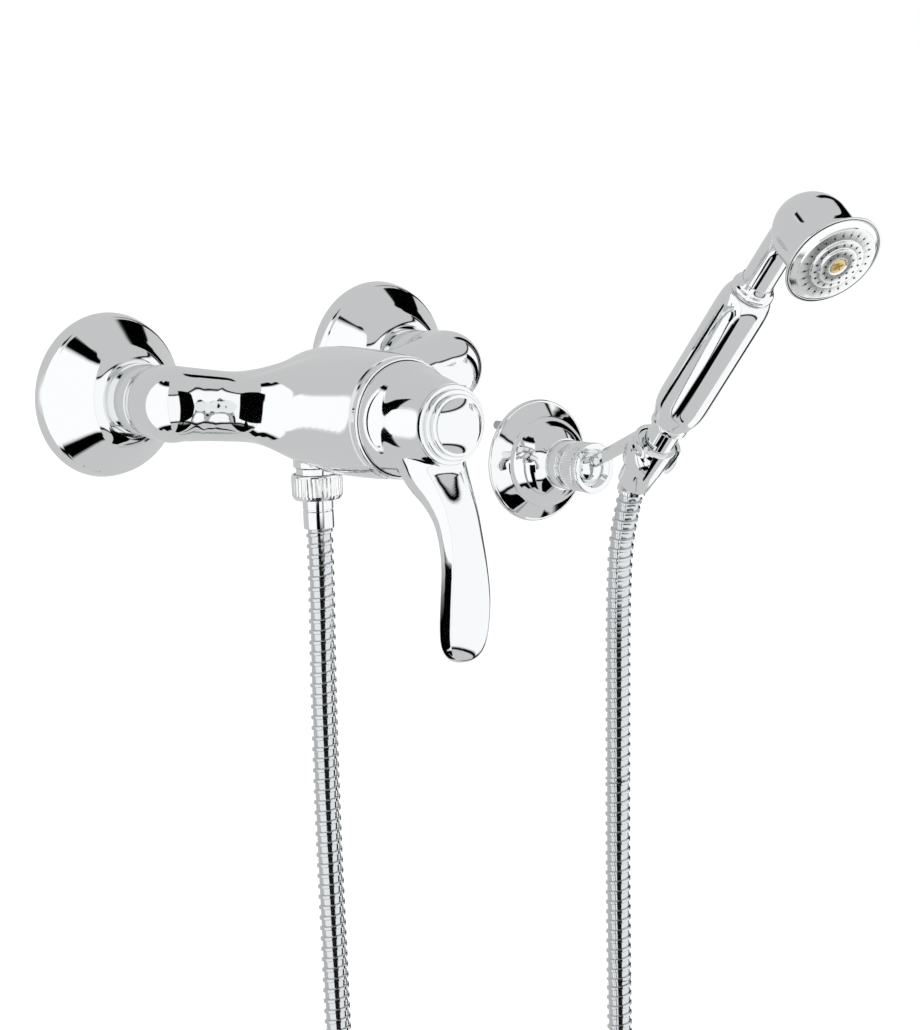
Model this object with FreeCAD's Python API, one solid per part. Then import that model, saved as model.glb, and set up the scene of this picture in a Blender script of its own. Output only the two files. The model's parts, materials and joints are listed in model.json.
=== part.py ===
import FreeCAD, Part
import math
import os

# A wall mounted single lever shower mixer with its hose, wall holder and hand shower.
# Millimetres. X runs along the wall, -Y points out of the wall, +Z is up.
# Pieces are drawn about the mixer's arm axis, and the whole is raised at the end, so that
# the origin is the point midway between the two wall threads, on the face of the wall.

V = FreeCAD.Vector
OUT = V(0, -1, 0)
UP = V(0, 0, 1)
DOWN = V(0, 0, -1)
ACROSS = V(1, 0, 0)

# Clearances
SEAT_GAP = 0.1
THREAD_GAP = 0.08
MOVING_GAP = 0.35
HINGE_GAP = 0.06

# Wall unions, one at each end of the mixer
INLET_PITCH = 150.0
UNION_OFFSET = 7.0
WALL_THREAD_R = 10.48
WALL_THREAD_LENGTH = 17.0
WALL_UNDERCUT = 1.2
UNION_THREAD_R = 13.22
UNION_CRANK_DEPTH = 9.0
UNION_END = 33.0
WATERWAY_R = 6.5

# Wall rosettes of the mixer
ROSETTE_R = 37.0
ROSETTE_DEPTH = 25.2
ROSETTE_RIM = 3.2
ROSETTE_RIM_HEIGHT = 3.0
ROSETTE_NECK_R = 17.2
ROSETTE_WALL = 1.0

# Union nuts and the nipples that they draw against the unions
NUT_R = 15.8
NUT_FRONT = 40.0
NUT_LIP = 3.2
NIPPLE_FLANGE_R = 12.9
NIPPLE_FLANGE_THICK = 1.8
NIPPLE_R = 10.2
NIPPLE_DEPTH = 49.0
GASKET_THICK = 1.4

# Mixer body: two arms on a horizontal axis and a barrel that points out of the wall
ARM_OUT = 55.0
ELBOW_R = 17.0
ELBOW_BACK = 40.3
ARM_WAIST_R = 15.5
ARM_BORE_R = 7.0
BARREL_DROP = 9.6
BARREL_R = 28.4
BARREL_BACK = 37.0
BARREL_FRONT = 123.5
BARREL_MOUTH_R = 26.7
PORT_R = 3.2
PORT_X = 9.0
PORT_RISE = 6.0
OUTLET_PORT_DROP = 9.0

# Ceramic cartridge, distances along the barrel measured from the wall
CARTRIDGE_SEAT = 84.0
CARTRIDGE_R = 17.3
CARTRIDGE_WALL = 1.7
BASE_THICK = 3.8
FIXED_DISC_R = 15.3
DISC_THICK = 4.2
MOVING_DISC_R = 11.6
DRIVER_THICK = 3.5
DRIVER_BOSS_R = 4.2
HOUSING_SHOULDER = 104.6
HOUSING_FRONT_WALL = 1.8
HOUSING_NECK_R = 12.6
HOUSING_NECK_FRONT = 113.0
SPINDLE_R = 10.9
SPINDLE_FLANGE_R = 14.8
SPINDLE_FLANGE_THICK = 1.8
SPINDLE_FRONT = 126.5
SPINDLE_SLOT_WIDTH = 8.8
SPINDLE_SLOT_HALF = 7.4
RETAINER_R = 19.3
RETAINER_BACK = 101.5
RETAINER_FRONT = 107.6

# Lever: a hollow hub that tilts about a pin inside the cartridge, and its hanging arm
PIVOT_OUT = 122.0
PIN_R = 1.5
PIN_HALF = 10.3
STEM_REST_TILT = 12.0
STEM_SIDE = 8.0
STEM_LENGTH = 19.0
STEM_REACH = 12.5
STEM_BALL_R = 2.6
HUB_R = 25.3
HUB_GAP = 0.45
HUB_WALL = 2.4
HUB_TILT_RANGE = 24.0
SKIRT_OVERLAP = 8.0
HUB_FRONT = 155.4
HUB_FRONT_R = 17.6
HUB_BOSS_R = 8.6
CAP_RECESS_R = 12.7
CAP_RECESS_DEPTH = 4.9
CAP_R = 17.45
CAP_STEP = 1.95
CAP_STEP_HEIGHT = 2.15
CAP_STEPS = 3
CAP_HOLE_R = 9.0
BUTTON_R = 11.9
BUTTON_RISE = 4.6
LEVER_SCREW_R = 2.45

# The lever arm's centre line as distance out and height below the arm axis, with the half
# width and half depth of its section there
LEVER_SECTIONS = [
    (138.0, -22.0, 16.0, 14.5),
    (144.6, -32.0, 14.6, 12.6),
    (151.2, -40.0, 12.4, 10.2),
    (156.6, -48.6, 11.0, 8.7),
    (159.6, -58.0, 10.6, 7.9),
    (161.5, -70.0, 11.2, 7.6),
    (161.3, -84.4, 12.4, 7.8),
    (159.7, -97.0, 12.4, 7.6),
    (158.5, -105.0, 11.4, 6.9),
    (157.9, -110.0, 8.8, 5.3),
    (157.6, -112.6, 5.0, 3.0),
]

# Outlet of the mixer and the lower end of the hose
OUTLET_OUT = 54.4
OUTLET_SEAT = 28.0
OUTLET_WASHER = 1.3
OUTLET_SHANK_R = 9.3
OUTLET_THREAD_R = 10.48
OUTLET_THREAD_TOP = 41.0
OUTLET_END = 47.5
OUTLET_BODY_THREAD_END = 36.9
VALVE_R = 6.3
VALVE_TOP = 33.0
VALVE_LENGTH = 10.0
HOSE_NUT_R = 11.6
HOSE_NUT_TOP = 40.2
HOSE_NUT_BOTTOM = 51.6
HOSE_NUT_LIP = 1.4
HOSE_WASHER = 1.4
FERRULE_R = 7.0
FERRULE_FLANGE = 0.9
FERRULE_END = 65.3

# Shower hose: a ribbed metal tube with a bore
HOSE_D = 12.3
HOSE_VALLEY_D = 10.6
HOSE_BORE_D = 8.0
RIB_COUNTS = {"hose_main": 150, "hose_swing": 16, "hose_top": 26}

# Wall holder, distances from the wall on its own axis
HOLDER_X = 170.0
HOLDER_DROP = 60.2
HOLDER_ROSETTE_R = 30.1
HOLDER_ROSETTE_DEPTH = 22.8
HOLDER_ROSETTE_HOLE_R = 9.7
HOLDER_DOME_R = 22.2
HOLDER_DOME_START = 8.2
HOLDER_PLATE_R = 24.0
HOLDER_PLATE_THICK = 4.0
HOLDER_SCREW_SPACING = 30.0
HOLDER_SCREW_R = 2.2
HOLDER_SCREW_LENGTH = 30.0
HOLDER_SCREW_SHANK_R = 2.0
HOLDER_THREAD_START = 0.5
STUD_R = 4.0
SOCKET_COLLAR_R = 12.1
SOCKET_COLLAR_FRONT = 31.0
SOCKET_NECK_R = 10.0
SOCKET_NECK_FRONT = 38.4
BALL_R = 8.8
BALL_OUT = 38.0
KNOB_BACK = 31.4
KNOB_KNURL_BACK = 33.0
KNOB_KNURL_FRONT = 42.6
KNOB_FRONT = 45.2
KNOB_R = 12.2
KNOB_RING_R = 12.5
KNOB_LIP_R = 7.2
KNOB_MOUTH_R = 9.2
KNOB_RIDGES = 48
ROD_R = 3.2
ROD_NECK_R = 2.8
ROD_ELEVATION = 24.0
ROD_SHOULDER = 10.5

# Hand shower, distances along its axis from the lower end of the handle
HANDSET_LEAN = 42.4
HANDSET_TURN = 7.0
HANDSET_FOOT = V(HOLDER_X, -102.9, -32.8)
CRADLE_TOP = -14.3
CRADLE_BOTTOM = -30.8
CRADLE_R = 12.7
CRADLE_RIM_R = 11.8
CRADLE_SLOT = 17.0
CONE_TOP = -15.2
CONE_STEP = -30.0
CONE_BOTTOM = -42.6
CONE_TOP_R = 9.7
CONE_SLOPE = 0.03
CONE_SKIRT_R = 9.0
CONE_BOTTOM_R = 8.2
TAIL_R = 7.5
TAIL_THREAD_R = 6.58
TAIL_END = -26.0
TAIL_RING_R = 9.25
TAIL_BORE_R = 4.5
TAIL_SHOULDER = 0.9
HOSE_END_BEND = 20.0
HOSE_TAIL_LENGTH = 4.6
HOSE_TAIL_BEND_R = 9.0
HOSE_TAIL_BORE_R = 3.4
HOSE_END_RUN = 22.0
HANDLE_LENGTH = 86.4
HANDLE_WALL = 1.6
HANDLE_OUTLINE = [(9.5, 1.0), (9.8, 3.2), (10.8, 6.0), (11.7, 9.2), (12.15, 13.5), (12.25, 20.0), (12.25, 75.0),
                  (11.9, 80.4), (11.1, 84.0), (9.9, 86.2)]
COLLAR_R = 10.3
COLLAR_THICK = 5.2
NECK_R = 7.7
NECK_BORE_R = 5.8
NECK_SECTIONS = [(83.4, 0.0, 7.7), (104.0, 0.0, 7.7), (116.0, 0.1, 7.75), (124.0, 1.1, 8.3), (130.5, 2.7, 8.9),
                 (137.0, 4.6, 8.2)]
TUBE_R = 5.2
TUBE_BORE_R = 4.0
HEAD_ALONG = 137.4
HEAD_ASIDE = 12.3
HEAD_R = 18.1
HEAD_LIFT = 5.7
FACE_FORWARD = 19.7
FACE_R = 23.9
FACE_RECESS_R = 22.3
FACE_RECESS = 1.0
HEAD_WALL = 1.8
ROSE_R = 22.1
ROSE_HOLE_R = 0.55
ROSE_RINGS = [(7.4, 12), (11.6, 18), (15.8, 24)]
ROSE_SCREW_R = 2.0
ROSE_SCREW_HEAD_R = 3.6
ROSE_SCREW_SEAT = 3.4
POST_R = 4.2
GASKET_OUTER_R = 19.4
GASKET_INNER_R = 17.3

# Hose route, hand chosen points about the arm axis: x along the wall, y, z
HOSE_MAIN_ROUTE = [
    (0.0, -54.4, -65.3),
    (0.0, -54.4, -86.0),
    (0.3, -51.4, -128.0),
    (-0.3, -49.8, -200.0),
    (0.6, -48.6, -290.0),
    (0.0, -48.4, -390.0),
    (-1.0, -48.2, -480.0),
    (1.5, -48.0, -550.0),
    (24.0, -48.0, -590.0),
    (62.2, -48.0, -612.0),
    (107.8, -47.6, -612.0),
    (146.0, -47.4, -590.0),
    (168.5, -47.2, -550.0),
    (170.5, -46.8, -480.0),
    (170.0, -46.6, -392.0),
    (170.0, -49.6, -315.0),
]
HOSE_SWING_ROUTE = [
    (170.0, -49.6, -315.0),
    (170.0, -52.04, -252.5),
    (170.0, -54.4, -212.5),
]
HOSE_TOP_ROUTE = [
    (170.0, -54.4, -212.5),
    (170.0, -56.91, -170.0),
    (170.0, -58.4, -140.0),
    (170.0, -60.8, -112.5),
]


def straight(*points):
    """Straight edges of an outline through points of radius and height."""
    return ("line", points)


def curve(*points):
    """One smooth edge of an outline through points of radius and height."""
    return ("curve", points)


def arc(middle, end):
    """One round edge of an outline through a middle point to an end."""
    return ("arc", (middle, end))


def outline_face(start, moves):
    """Closed flat face in the plane of radius (X) and height (Z)."""
    here = V(start[0], 0, start[1])
    first = here
    edges = []
    for kind, points in moves:
        flat = [V(r, 0, h) for r, h in points]
        if kind == "line":
            for point in flat:
                edges.append(Part.LineSegment(here, point).toShape())
                here = point
        elif kind == "arc":
            edges.append(Part.Arc(here, flat[0], flat[1]).toShape())
            here = flat[1]
        else:
            spline = Part.BSplineCurve()
            spline.interpolate([here] + flat)
            edges.append(spline.toShape())
            here = flat[-1]
    if here.distanceToPoint(first) > 1e-6:
        edges.append(Part.LineSegment(here, first).toShape())
    return Part.Face(Part.Wire(edges))


def moved(shape, base, direction=UP):
    """Shape with its own Z axis laid along a direction from a base point."""
    placed = shape.copy()
    placed.Placement = FreeCAD.Placement(base, FreeCAD.Rotation(UP, direction)).multiply(placed.Placement)
    return placed


def turned(start, moves, base=V(0, 0, 0), direction=UP):
    """Body of revolution of an outline, its axis laid along a direction."""
    solid = outline_face(start, moves).revolve(V(0, 0, 0), UP, 360)
    return moved(solid, base, direction)


def rod(radius, low, high, base=V(0, 0, 0), direction=UP):
    """Round bar from one distance along an axis to another."""
    return moved(Part.makeCylinder(radius, high - low, V(0, 0, low)), base, direction)


def tube(radius, bore, low, high, base=V(0, 0, 0), direction=UP):
    """Round bar with a bore right through."""
    return rod(radius, low, high, base, direction).cut(rod(bore, low - 1, high + 1, base, direction))


def box(x0, x1, y0, y1, z0, z1):
    """Box between two corners."""
    return Part.makeBox(x1 - x0, y1 - y0, z1 - z0, V(x0, y0, z0))


def ball(radius, centre):
    """Sphere about a centre."""
    return Part.makeSphere(radius, centre)


def ellipse_wire(centre, normal, wide, half_wide, half_deep):
    """Ellipse with one axis along a given direction."""
    deep = normal.cross(wide)
    if half_wide > half_deep:
        shape = Part.Ellipse(centre + wide * half_wide, centre + deep * half_deep, centre)
    else:
        shape = Part.Ellipse(centre + deep * half_deep, centre - wide * half_wide, centre)
    return Part.Wire([shape.toShape()])


def union_axis(side):
    """Where a wall union's mixer end meets the wall, left or right."""
    return V(side * INLET_PITCH / 2, 0, 0)


def eccentric_union(side):
    """Cranked union: a wall thread, an offset body and a thread for the nut."""
    axis = union_axis(side)
    wall_axis = axis - UP * UNION_OFFSET
    inward = V(0, 1, 0)
    stub = rod(WALL_THREAD_R, 0, WALL_THREAD_LENGTH, wall_axis, inward)
    undercut = rod(WALL_THREAD_R - 0.9, -WALL_UNDERCUT - 0.5, 0.5, wall_axis, inward)
    start = Part.Wire([Part.makeCircle(WALL_THREAD_R + 1.6, wall_axis + OUT * WALL_UNDERCUT, OUT)])
    end = Part.Wire([Part.makeCircle(UNION_THREAD_R - 0.4, axis + OUT * UNION_CRANK_DEPTH, OUT)])
    crank = Part.makeLoft([start, end], True, True)
    thread = rod(UNION_THREAD_R, UNION_CRANK_DEPTH, UNION_END, axis, OUT)
    way_in = rod(WATERWAY_R, -UNION_CRANK_DEPTH, WALL_THREAD_LENGTH + 1, wall_axis, inward)
    way_out = rod(WATERWAY_R, UNION_CRANK_DEPTH / 2, UNION_END + 1, axis, OUT)
    return stub.fuse([undercut, crank, thread]).cut(way_in).cut(way_out)


def bell_outline(inset):
    """Moves of the rosette's face from its rim to its neck, moved inwards by a wall."""
    rim = ROSETTE_R - ROSETTE_RIM
    return [
        straight((ROSETTE_R - inset, ROSETTE_RIM_HEIGHT * 0.4)),
        arc((ROSETTE_R - 0.7 - inset, ROSETTE_RIM_HEIGHT * 0.8), (rim - inset * 0.5, ROSETTE_RIM_HEIGHT - inset * 0.6)),
        curve((29.6 - inset * 0.8, 8.6 - inset * 0.7), (24.6 - inset * 0.8, 14.6 - inset * 0.7),
              (20.2 - inset * 0.8, 20.4 - inset * 0.7), (ROSETTE_NECK_R - inset * 0.3, ROSETTE_DEPTH - inset)),
    ]


def rosette(side):
    """Bell shaped cover over the wall hole, a thin pressed shell."""
    axis = union_axis(side)
    outer = turned((0, 0), [straight((ROSETTE_R, 0))] + bell_outline(0) + [straight((0, ROSETTE_DEPTH))], axis, OUT)
    inner = turned((0, -1), [straight((ROSETTE_R - ROSETTE_WALL, -1))] + bell_outline(ROSETTE_WALL)
                   + [straight((0, ROSETTE_DEPTH - ROSETTE_WALL))], axis, OUT)
    hole = rod(UNION_THREAD_R + 0.3, 0, ROSETTE_DEPTH + 1, axis, OUT)
    return outer.cut(inner).cut(hole)


def union_nut(side):
    """Round union nut that holds the nipple's flange against the union."""
    axis = union_axis(side)
    back = ROSETTE_DEPTH + 0.3
    outer = turned((0, back), [
        straight((NUT_R - 0.6, back), (NUT_R, back + 0.6), (NUT_R, NUT_FRONT - 0.9), (NUT_R - 0.9, NUT_FRONT),
                 (0, NUT_FRONT))], axis, OUT)
    thread = rod(UNION_THREAD_R + THREAD_GAP, back - 1, NUT_FRONT - NUT_LIP, axis, OUT)
    mouth = rod(NIPPLE_R + 0.8, back, NUT_FRONT + 1, axis, OUT)
    return outer.cut(thread).cut(mouth)


def filter_gasket(side):
    """Rubber gasket with a strainer dome between union and nipple."""
    low = UNION_END + SEAT_GAP
    return tube(NIPPLE_FLANGE_R - 0.3, WATERWAY_R, low, low + GASKET_THICK, union_axis(side), OUT)


def inlet_nipple(side):
    """Flanged nipple, screwed into the body's elbow."""
    axis = union_axis(side)
    low = UNION_END + GASKET_THICK + 2 * SEAT_GAP
    flange = rod(NIPPLE_FLANGE_R, low, low + NIPPLE_FLANGE_THICK, axis, OUT)
    neck = rod(NIPPLE_R, low, NIPPLE_DEPTH, axis, OUT)
    return flange.fuse(neck).cut(rod(WATERWAY_R, low - 1, NIPPLE_DEPTH + 1, axis, OUT))


def arm_sections():
    """Circles along the arms: half length from the middle, radius, drop and distance out."""
    half = [
        (INLET_PITCH / 2, ELBOW_R - 0.1, 0.0, ARM_OUT),
        (62.0, 16.0, 1.8, ARM_OUT),
        (46.0, ARM_WAIST_R, 4.4, ARM_OUT),
        (37.0, 15.9, 5.4, ARM_OUT + 0.2),
        (29.0, 17.5, 6.2, ARM_OUT + 1.0),
        (21.0, 20.2, 7.2, ARM_OUT + 3.0),
        (12.0, 24.0, 8.6, ARM_OUT + 6.0),
        (0.0, 26.8, BARREL_DROP, ARM_OUT + 8.0),
    ]
    left = [(-x, r, drop, out) for x, r, drop, out in half[:-1]]
    return left + list(reversed(half))


def body_arms():
    """The two arms as one smooth loft that swells towards the barrel."""
    wires = [Part.Wire([Part.makeCircle(r, V(x, -out, -drop), ACROSS)]) for x, r, drop, out in arm_sections()]
    return Part.makeLoft(wires, True, False)


def body_elbow(side):
    """Rounded elbow that turns an arm to the wall."""
    centre = V(side * INLET_PITCH / 2, -ARM_OUT, 0)
    back = turned((0, ELBOW_BACK), [
        straight((ELBOW_R - 1.6, ELBOW_BACK)), arc((ELBOW_R - 0.45, ELBOW_BACK + 0.5), (ELBOW_R, ELBOW_BACK + 1.7)),
        straight((ELBOW_R, ARM_OUT), (0, ARM_OUT))], union_axis(side), OUT)
    return ball(ELBOW_R, centre).fuse(back)


def body_barrel():
    """Barrel of the body, round about its own axis, with a rounded back and a lipped mouth."""
    back = BARREL_BACK
    front = BARREL_FRONT
    return turned((0, back), [
        curve((10.0, back + 1.2), (20.0, back + 6.2), (26.4, back + 14.0), (BARREL_R, back + 26.0),
              (BARREL_R, front - 42.0), (BARREL_R - 0.4, front - 24.0), (BARREL_MOUTH_R + 0.25, front - 6.0),
              (BARREL_MOUTH_R, front - 0.8)),
        straight((BARREL_MOUTH_R - 0.4, front), (0, front))],
        V(0, 0, -BARREL_DROP), OUT)


def mixer_body():
    """Cast body with its waterways, its cartridge seat and the cavity that the lever's hub turns in."""
    barrel_axis = V(0, 0, -BARREL_DROP)
    solid = body_arms().fuse([body_barrel(), body_elbow(-1), body_elbow(1)])
    cuts = []
    for side in (-1, 1):
        axis = union_axis(side)
        cuts.append(rod(NUT_R + 1.3, ELBOW_BACK - 6, ELBOW_BACK, axis, OUT))
        cuts.append(rod(ARM_BORE_R, ELBOW_BACK - 1, ARM_OUT, axis, OUT))
        cuts.append(rod(NIPPLE_R + SEAT_GAP / 2, ELBOW_BACK - 1, NIPPLE_DEPTH + SEAT_GAP, axis, OUT))
        start = V(side * (PORT_X - PORT_R - 1), -ARM_OUT, 0)
        cuts.append(rod(ARM_BORE_R, 0, INLET_PITCH / 2 - PORT_X + PORT_R + 1, start, ACROSS * side))
        port = V(side * PORT_X, 0, -BARREL_DROP + PORT_RISE)
        cuts.append(rod(PORT_R, ARM_OUT, CARTRIDGE_SEAT + 1, port, OUT))
    outlet_port = V(0, 0, -BARREL_DROP - OUTLET_PORT_DROP)
    cuts.append(rod(PORT_R, ARM_OUT, CARTRIDGE_SEAT + 1, outlet_port, OUT))
    cuts.append(rod(WATERWAY_R, BARREL_DROP + 4.0, OUTLET_SEAT + 1, outlet_point(), DOWN))
    cuts.append(rod(OUTLET_THREAD_R + SEAT_GAP / 2, OUTLET_SEAT, BARREL_R + BARREL_DROP + 5, outlet_point(), DOWN))
    cuts.append(rod(CARTRIDGE_R + SEAT_GAP, CARTRIDGE_SEAT, RETAINER_BACK, barrel_axis, OUT))
    floor = RETAINER_FRONT + 0.2
    cuts.append(rod(RETAINER_R + THREAD_GAP, RETAINER_BACK - 0.5, floor + 0.5, barrel_axis, OUT))
    mouth = ball(HUB_R + HUB_GAP, V(0, -PIVOT_OUT, -BARREL_DROP))
    cuts.append(mouth.common(rod(BARREL_R + 5, floor, BARREL_FRONT + 1, barrel_axis, OUT)))
    for cut in cuts:
        solid = solid.cut(cut)
    return solid


def seal_places():
    """Centres of the cartridge's three ports on the barrel's cross section."""
    inlets = [V(side * PORT_X, 0, -BARREL_DROP + PORT_RISE) for side in (-1, 1)]
    return inlets + [V(0, 0, -BARREL_DROP - OUTLET_PORT_DROP)]


def port_seals():
    """The three rubber rings that seal the cartridge's ports, a group of separate solids."""
    low = CARTRIDGE_SEAT + SEAT_GAP / 2
    rings = [tube(PORT_R + 1.3, PORT_R, low, low + 1.3, place, OUT) for place in seal_places()]
    return Part.makeCompound(rings)


def cartridge_base():
    """Foot of the cartridge, with a port over each of the body's ports."""
    axis = V(0, 0, -BARREL_DROP)
    low = CARTRIDGE_SEAT + 0.15
    solid = rod(CARTRIDGE_R, low, low + BASE_THICK, axis, OUT)
    for place in seal_places():
        solid = solid.cut(rod(PORT_R, low - 1, low + BASE_THICK + 1, place, OUT))
        solid = solid.cut(rod(PORT_R + 1.35, low - 1, low + 1.25, place, OUT))
    return solid


def cartridge_housing():
    """Cup of the cartridge with a neck that guides the spindle."""
    axis = V(0, 0, -BARREL_DROP)
    low = CARTRIDGE_SEAT + BASE_THICK + 0.2
    front = HOUSING_SHOULDER
    solid = rod(CARTRIDGE_R, low, front, axis, OUT).fuse(rod(HOUSING_NECK_R, front - 1, HOUSING_NECK_FRONT, axis, OUT))
    solid = solid.cut(rod(CARTRIDGE_R - CARTRIDGE_WALL, low - 1, front - HOUSING_FRONT_WALL, axis, OUT))
    return solid.cut(rod(SPINDLE_R + MOVING_GAP, low, HOUSING_NECK_FRONT + 1, axis, OUT))


def disc_levels():
    """Distances out of the fixed disc, the moving disc and the disc driver."""
    fixed = CARTRIDGE_SEAT + BASE_THICK + 0.25
    moving = fixed + DISC_THICK + SEAT_GAP
    driver = moving + DISC_THICK + SEAT_GAP
    return fixed, moving, driver


def fixed_disc():
    """Ceramic disc with the three ports, held still by the housing."""
    low = disc_levels()[0]
    solid = rod(FIXED_DISC_R, low, low + DISC_THICK, V(0, 0, -BARREL_DROP), OUT)
    for place in seal_places():
        solid = solid.cut(rod(PORT_R, low - 1, low + DISC_THICK + 1, place, OUT))
    return solid


def rest_rise():
    """How far the moving disc stands above the barrel's axis with the water shut off."""
    return STEM_REACH * math.sin(math.radians(STEM_REST_TILT))


def moving_disc():
    """Ceramic disc with a mixing pocket in the face that slides on the fixed disc."""
    low = disc_levels()[1]
    axis = V(0, 0, -BARREL_DROP + rest_rise())
    solid = rod(MOVING_DISC_R, low, low + DISC_THICK, axis, OUT)
    return solid.cut(rod(MOVING_DISC_R - 3.4, low - 1, low + 2.0, axis, OUT))


def disc_driver():
    """Plastic driver that carries the moving disc and takes the end of the stem."""
    low = disc_levels()[2]
    axis = V(0, 0, -BARREL_DROP + rest_rise())
    pocket = PIVOT_OUT - STEM_REACH
    plate = rod(MOVING_DISC_R, low, low + DRIVER_THICK, axis, OUT)
    boss = rod(DRIVER_BOSS_R, low, pocket + 0.8, axis, OUT)
    hole = rod(STEM_BALL_R + MOVING_GAP, pocket - STEM_BALL_R - MOVING_GAP, pocket + 2, axis, OUT)
    return plate.fuse(boss).cut(hole)


def spindle_carrier():
    """Turning guide of the cartridge, slotted for the stem and cross drilled for its pin."""
    axis = V(0, 0, -BARREL_DROP)
    flange_front = HOUSING_SHOULDER - HOUSING_FRONT_WALL - SEAT_GAP
    solid = rod(SPINDLE_R, flange_front - SPINDLE_FLANGE_THICK, SPINDLE_FRONT, axis, OUT)
    solid = solid.fuse(rod(SPINDLE_FLANGE_R, flange_front - SPINDLE_FLANGE_THICK, flange_front, axis, OUT))
    half = SPINDLE_SLOT_WIDTH / 2
    slot = box(-half, half, -SPINDLE_FRONT - 1, -HOUSING_SHOULDER + 8, -BARREL_DROP - SPINDLE_SLOT_HALF,
               -BARREL_DROP + SPINDLE_SLOT_HALF)
    pin_hole = rod(PIN_R + 0.02, -SPINDLE_R - 1, SPINDLE_R + 1, V(0, -PIVOT_OUT, -BARREL_DROP), ACROSS)
    return solid.cut(slot).cut(pin_hole)


def hinge_pin():
    """Steel pin that the stem tilts about."""
    return rod(PIN_R, -PIN_HALF, PIN_HALF, V(0, -PIVOT_OUT, -BARREL_DROP), ACROSS)


def cartridge_retainer():
    """Threaded ring that clamps the cartridge in the body."""
    axis = V(0, 0, -BARREL_DROP)
    solid = tube(RETAINER_R, HOUSING_NECK_R + 0.6, RETAINER_BACK, RETAINER_FRONT, axis, OUT)
    return solid.cut(rod(CARTRIDGE_R + 0.2, RETAINER_BACK - 1, HOUSING_SHOULDER + SEAT_GAP / 2, axis, OUT))


def stem_direction():
    """Direction of the stem, which leans down by its rest tilt while the water is off."""
    tilt = math.radians(STEM_REST_TILT)
    return V(0, -math.cos(tilt), -math.sin(tilt))


def stem_bar(half, low, high):
    """Square bar along the stem from one distance off the pin to another."""
    bar = box(-half, half, -half, half, low, high)
    return moved(bar, V(0, -PIVOT_OUT, -BARREL_DROP), stem_direction())


def stem():
    """Lever stem: a ball that drives the disc, an eye on the pin and a square end."""
    pivot = V(0, -PIVOT_OUT, -BARREL_DROP)
    way = stem_direction()
    half = SPINDLE_SLOT_WIDTH / 2 - 0.2
    eye = rod(PIN_R + 2.2, -half, half, pivot, ACROSS)
    shank = rod(1.9, -STEM_REACH, 0, pivot, way)
    tip = ball(STEM_BALL_R, pivot - way * STEM_REACH)
    solid = eye.fuse([shank, tip, stem_bar(STEM_SIDE / 2, 1.0, STEM_LENGTH)])
    solid = solid.cut(rod(PIN_R + HINGE_GAP, -half - 1, half + 1, pivot, ACROSS))
    return solid.cut(rod(LEVER_SCREW_R + 0.03, 9.0, STEM_LENGTH + 1, pivot, way))


def hub_outline():
    """Lever hub: a dome that draws in to the cap, round about the barrel's axis."""
    back = PIVOT_OUT - HUB_R
    angle = math.radians(24.0)
    shoulder = (HUB_R * math.cos(angle), PIVOT_OUT + HUB_R * math.sin(angle))
    return turned((0, back), [
        arc((HUB_R * math.cos(math.radians(-40)), PIVOT_OUT + HUB_R * math.sin(math.radians(-40))), shoulder),
        curve((22.0, PIVOT_OUT + 13.6), (20.3, PIVOT_OUT + 18.6), (18.5, PIVOT_OUT + 25.0),
              (HUB_FRONT_R, HUB_FRONT)),
        straight((0, HUB_FRONT))], V(0, 0, -BARREL_DROP), OUT)


def lever_arm():
    """Hanging arm of the lever, a smooth loft of ellipses along its centre line."""
    points = [V(0, -out, height) for out, height, wide, deep in LEVER_SECTIONS]
    wires = []
    for index, (out, height, wide, deep) in enumerate(LEVER_SECTIONS):
        before = points[max(index - 1, 0)]
        after = points[min(index + 1, len(points) - 1)]
        along = (after - before).normalize()
        wires.append(ellipse_wire(points[index], along, ACROSS, wide, deep))
    return Part.makeLoft(wires, True, False)


def skirt_cut():
    """Block behind the hub's skirt. The skirt reaches further back below than above."""
    pivot = V(0, -PIVOT_OUT, -BARREL_DROP)
    lean = math.radians(HUB_TILT_RANGE / 2)
    behind = V(0, math.cos(lean), math.sin(lean))
    depth = HUB_R * math.sin(math.radians(SKIRT_OVERLAP + HUB_TILT_RANGE / 2))
    return rod(2 * HUB_R, depth, 3 * HUB_R, pivot, behind)


def lever():
    """Lever casting: hollow hub, inner boss for the stem and hanging arm."""
    pivot = V(0, -PIVOT_OUT, -BARREL_DROP)
    way = stem_direction()
    solid = hub_outline().cut(skirt_cut()).fuse(lever_arm())
    cavity = ball(HUB_R - HUB_WALL, pivot)
    boss = rod(HUB_BOSS_R, SPINDLE_FRONT - PIVOT_OUT + 8.5, HUB_R, pivot, way)
    solid = solid.cut(cavity).fuse(boss)
    solid = solid.cut(stem_bar(STEM_SIDE / 2 + SEAT_GAP, 8.0, STEM_LENGTH + 0.3))
    recess = rod(CAP_RECESS_R, HUB_FRONT - CAP_RECESS_DEPTH, HUB_FRONT + 1, V(0, 0, -BARREL_DROP), OUT)
    head_room = rod(4.6, 27.0, 40.0, pivot, way)
    screw_hole = rod(LEVER_SCREW_R + 0.1, STEM_LENGTH - 1, 28.0, pivot, way)
    ring_seat = rod(CAP_R + 0.4, HUB_FRONT, HUB_FRONT + 8, V(0, 0, -BARREL_DROP), OUT)
    return solid.cut(ring_seat).cut(recess).cut(head_room).cut(screw_hole)


def lever_screw():
    """Socket screw under the cap that holds the lever on its stem."""
    pivot = V(0, -PIVOT_OUT, -BARREL_DROP)
    way = stem_direction()
    shank = rod(LEVER_SCREW_R, 9.6, 28.0, pivot, way)
    head = rod(4.2, 27.1, 30.4, pivot, way)
    return shank.fuse(head).cut(rod(2.0, 28.4, 31.0, pivot, way))


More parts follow.
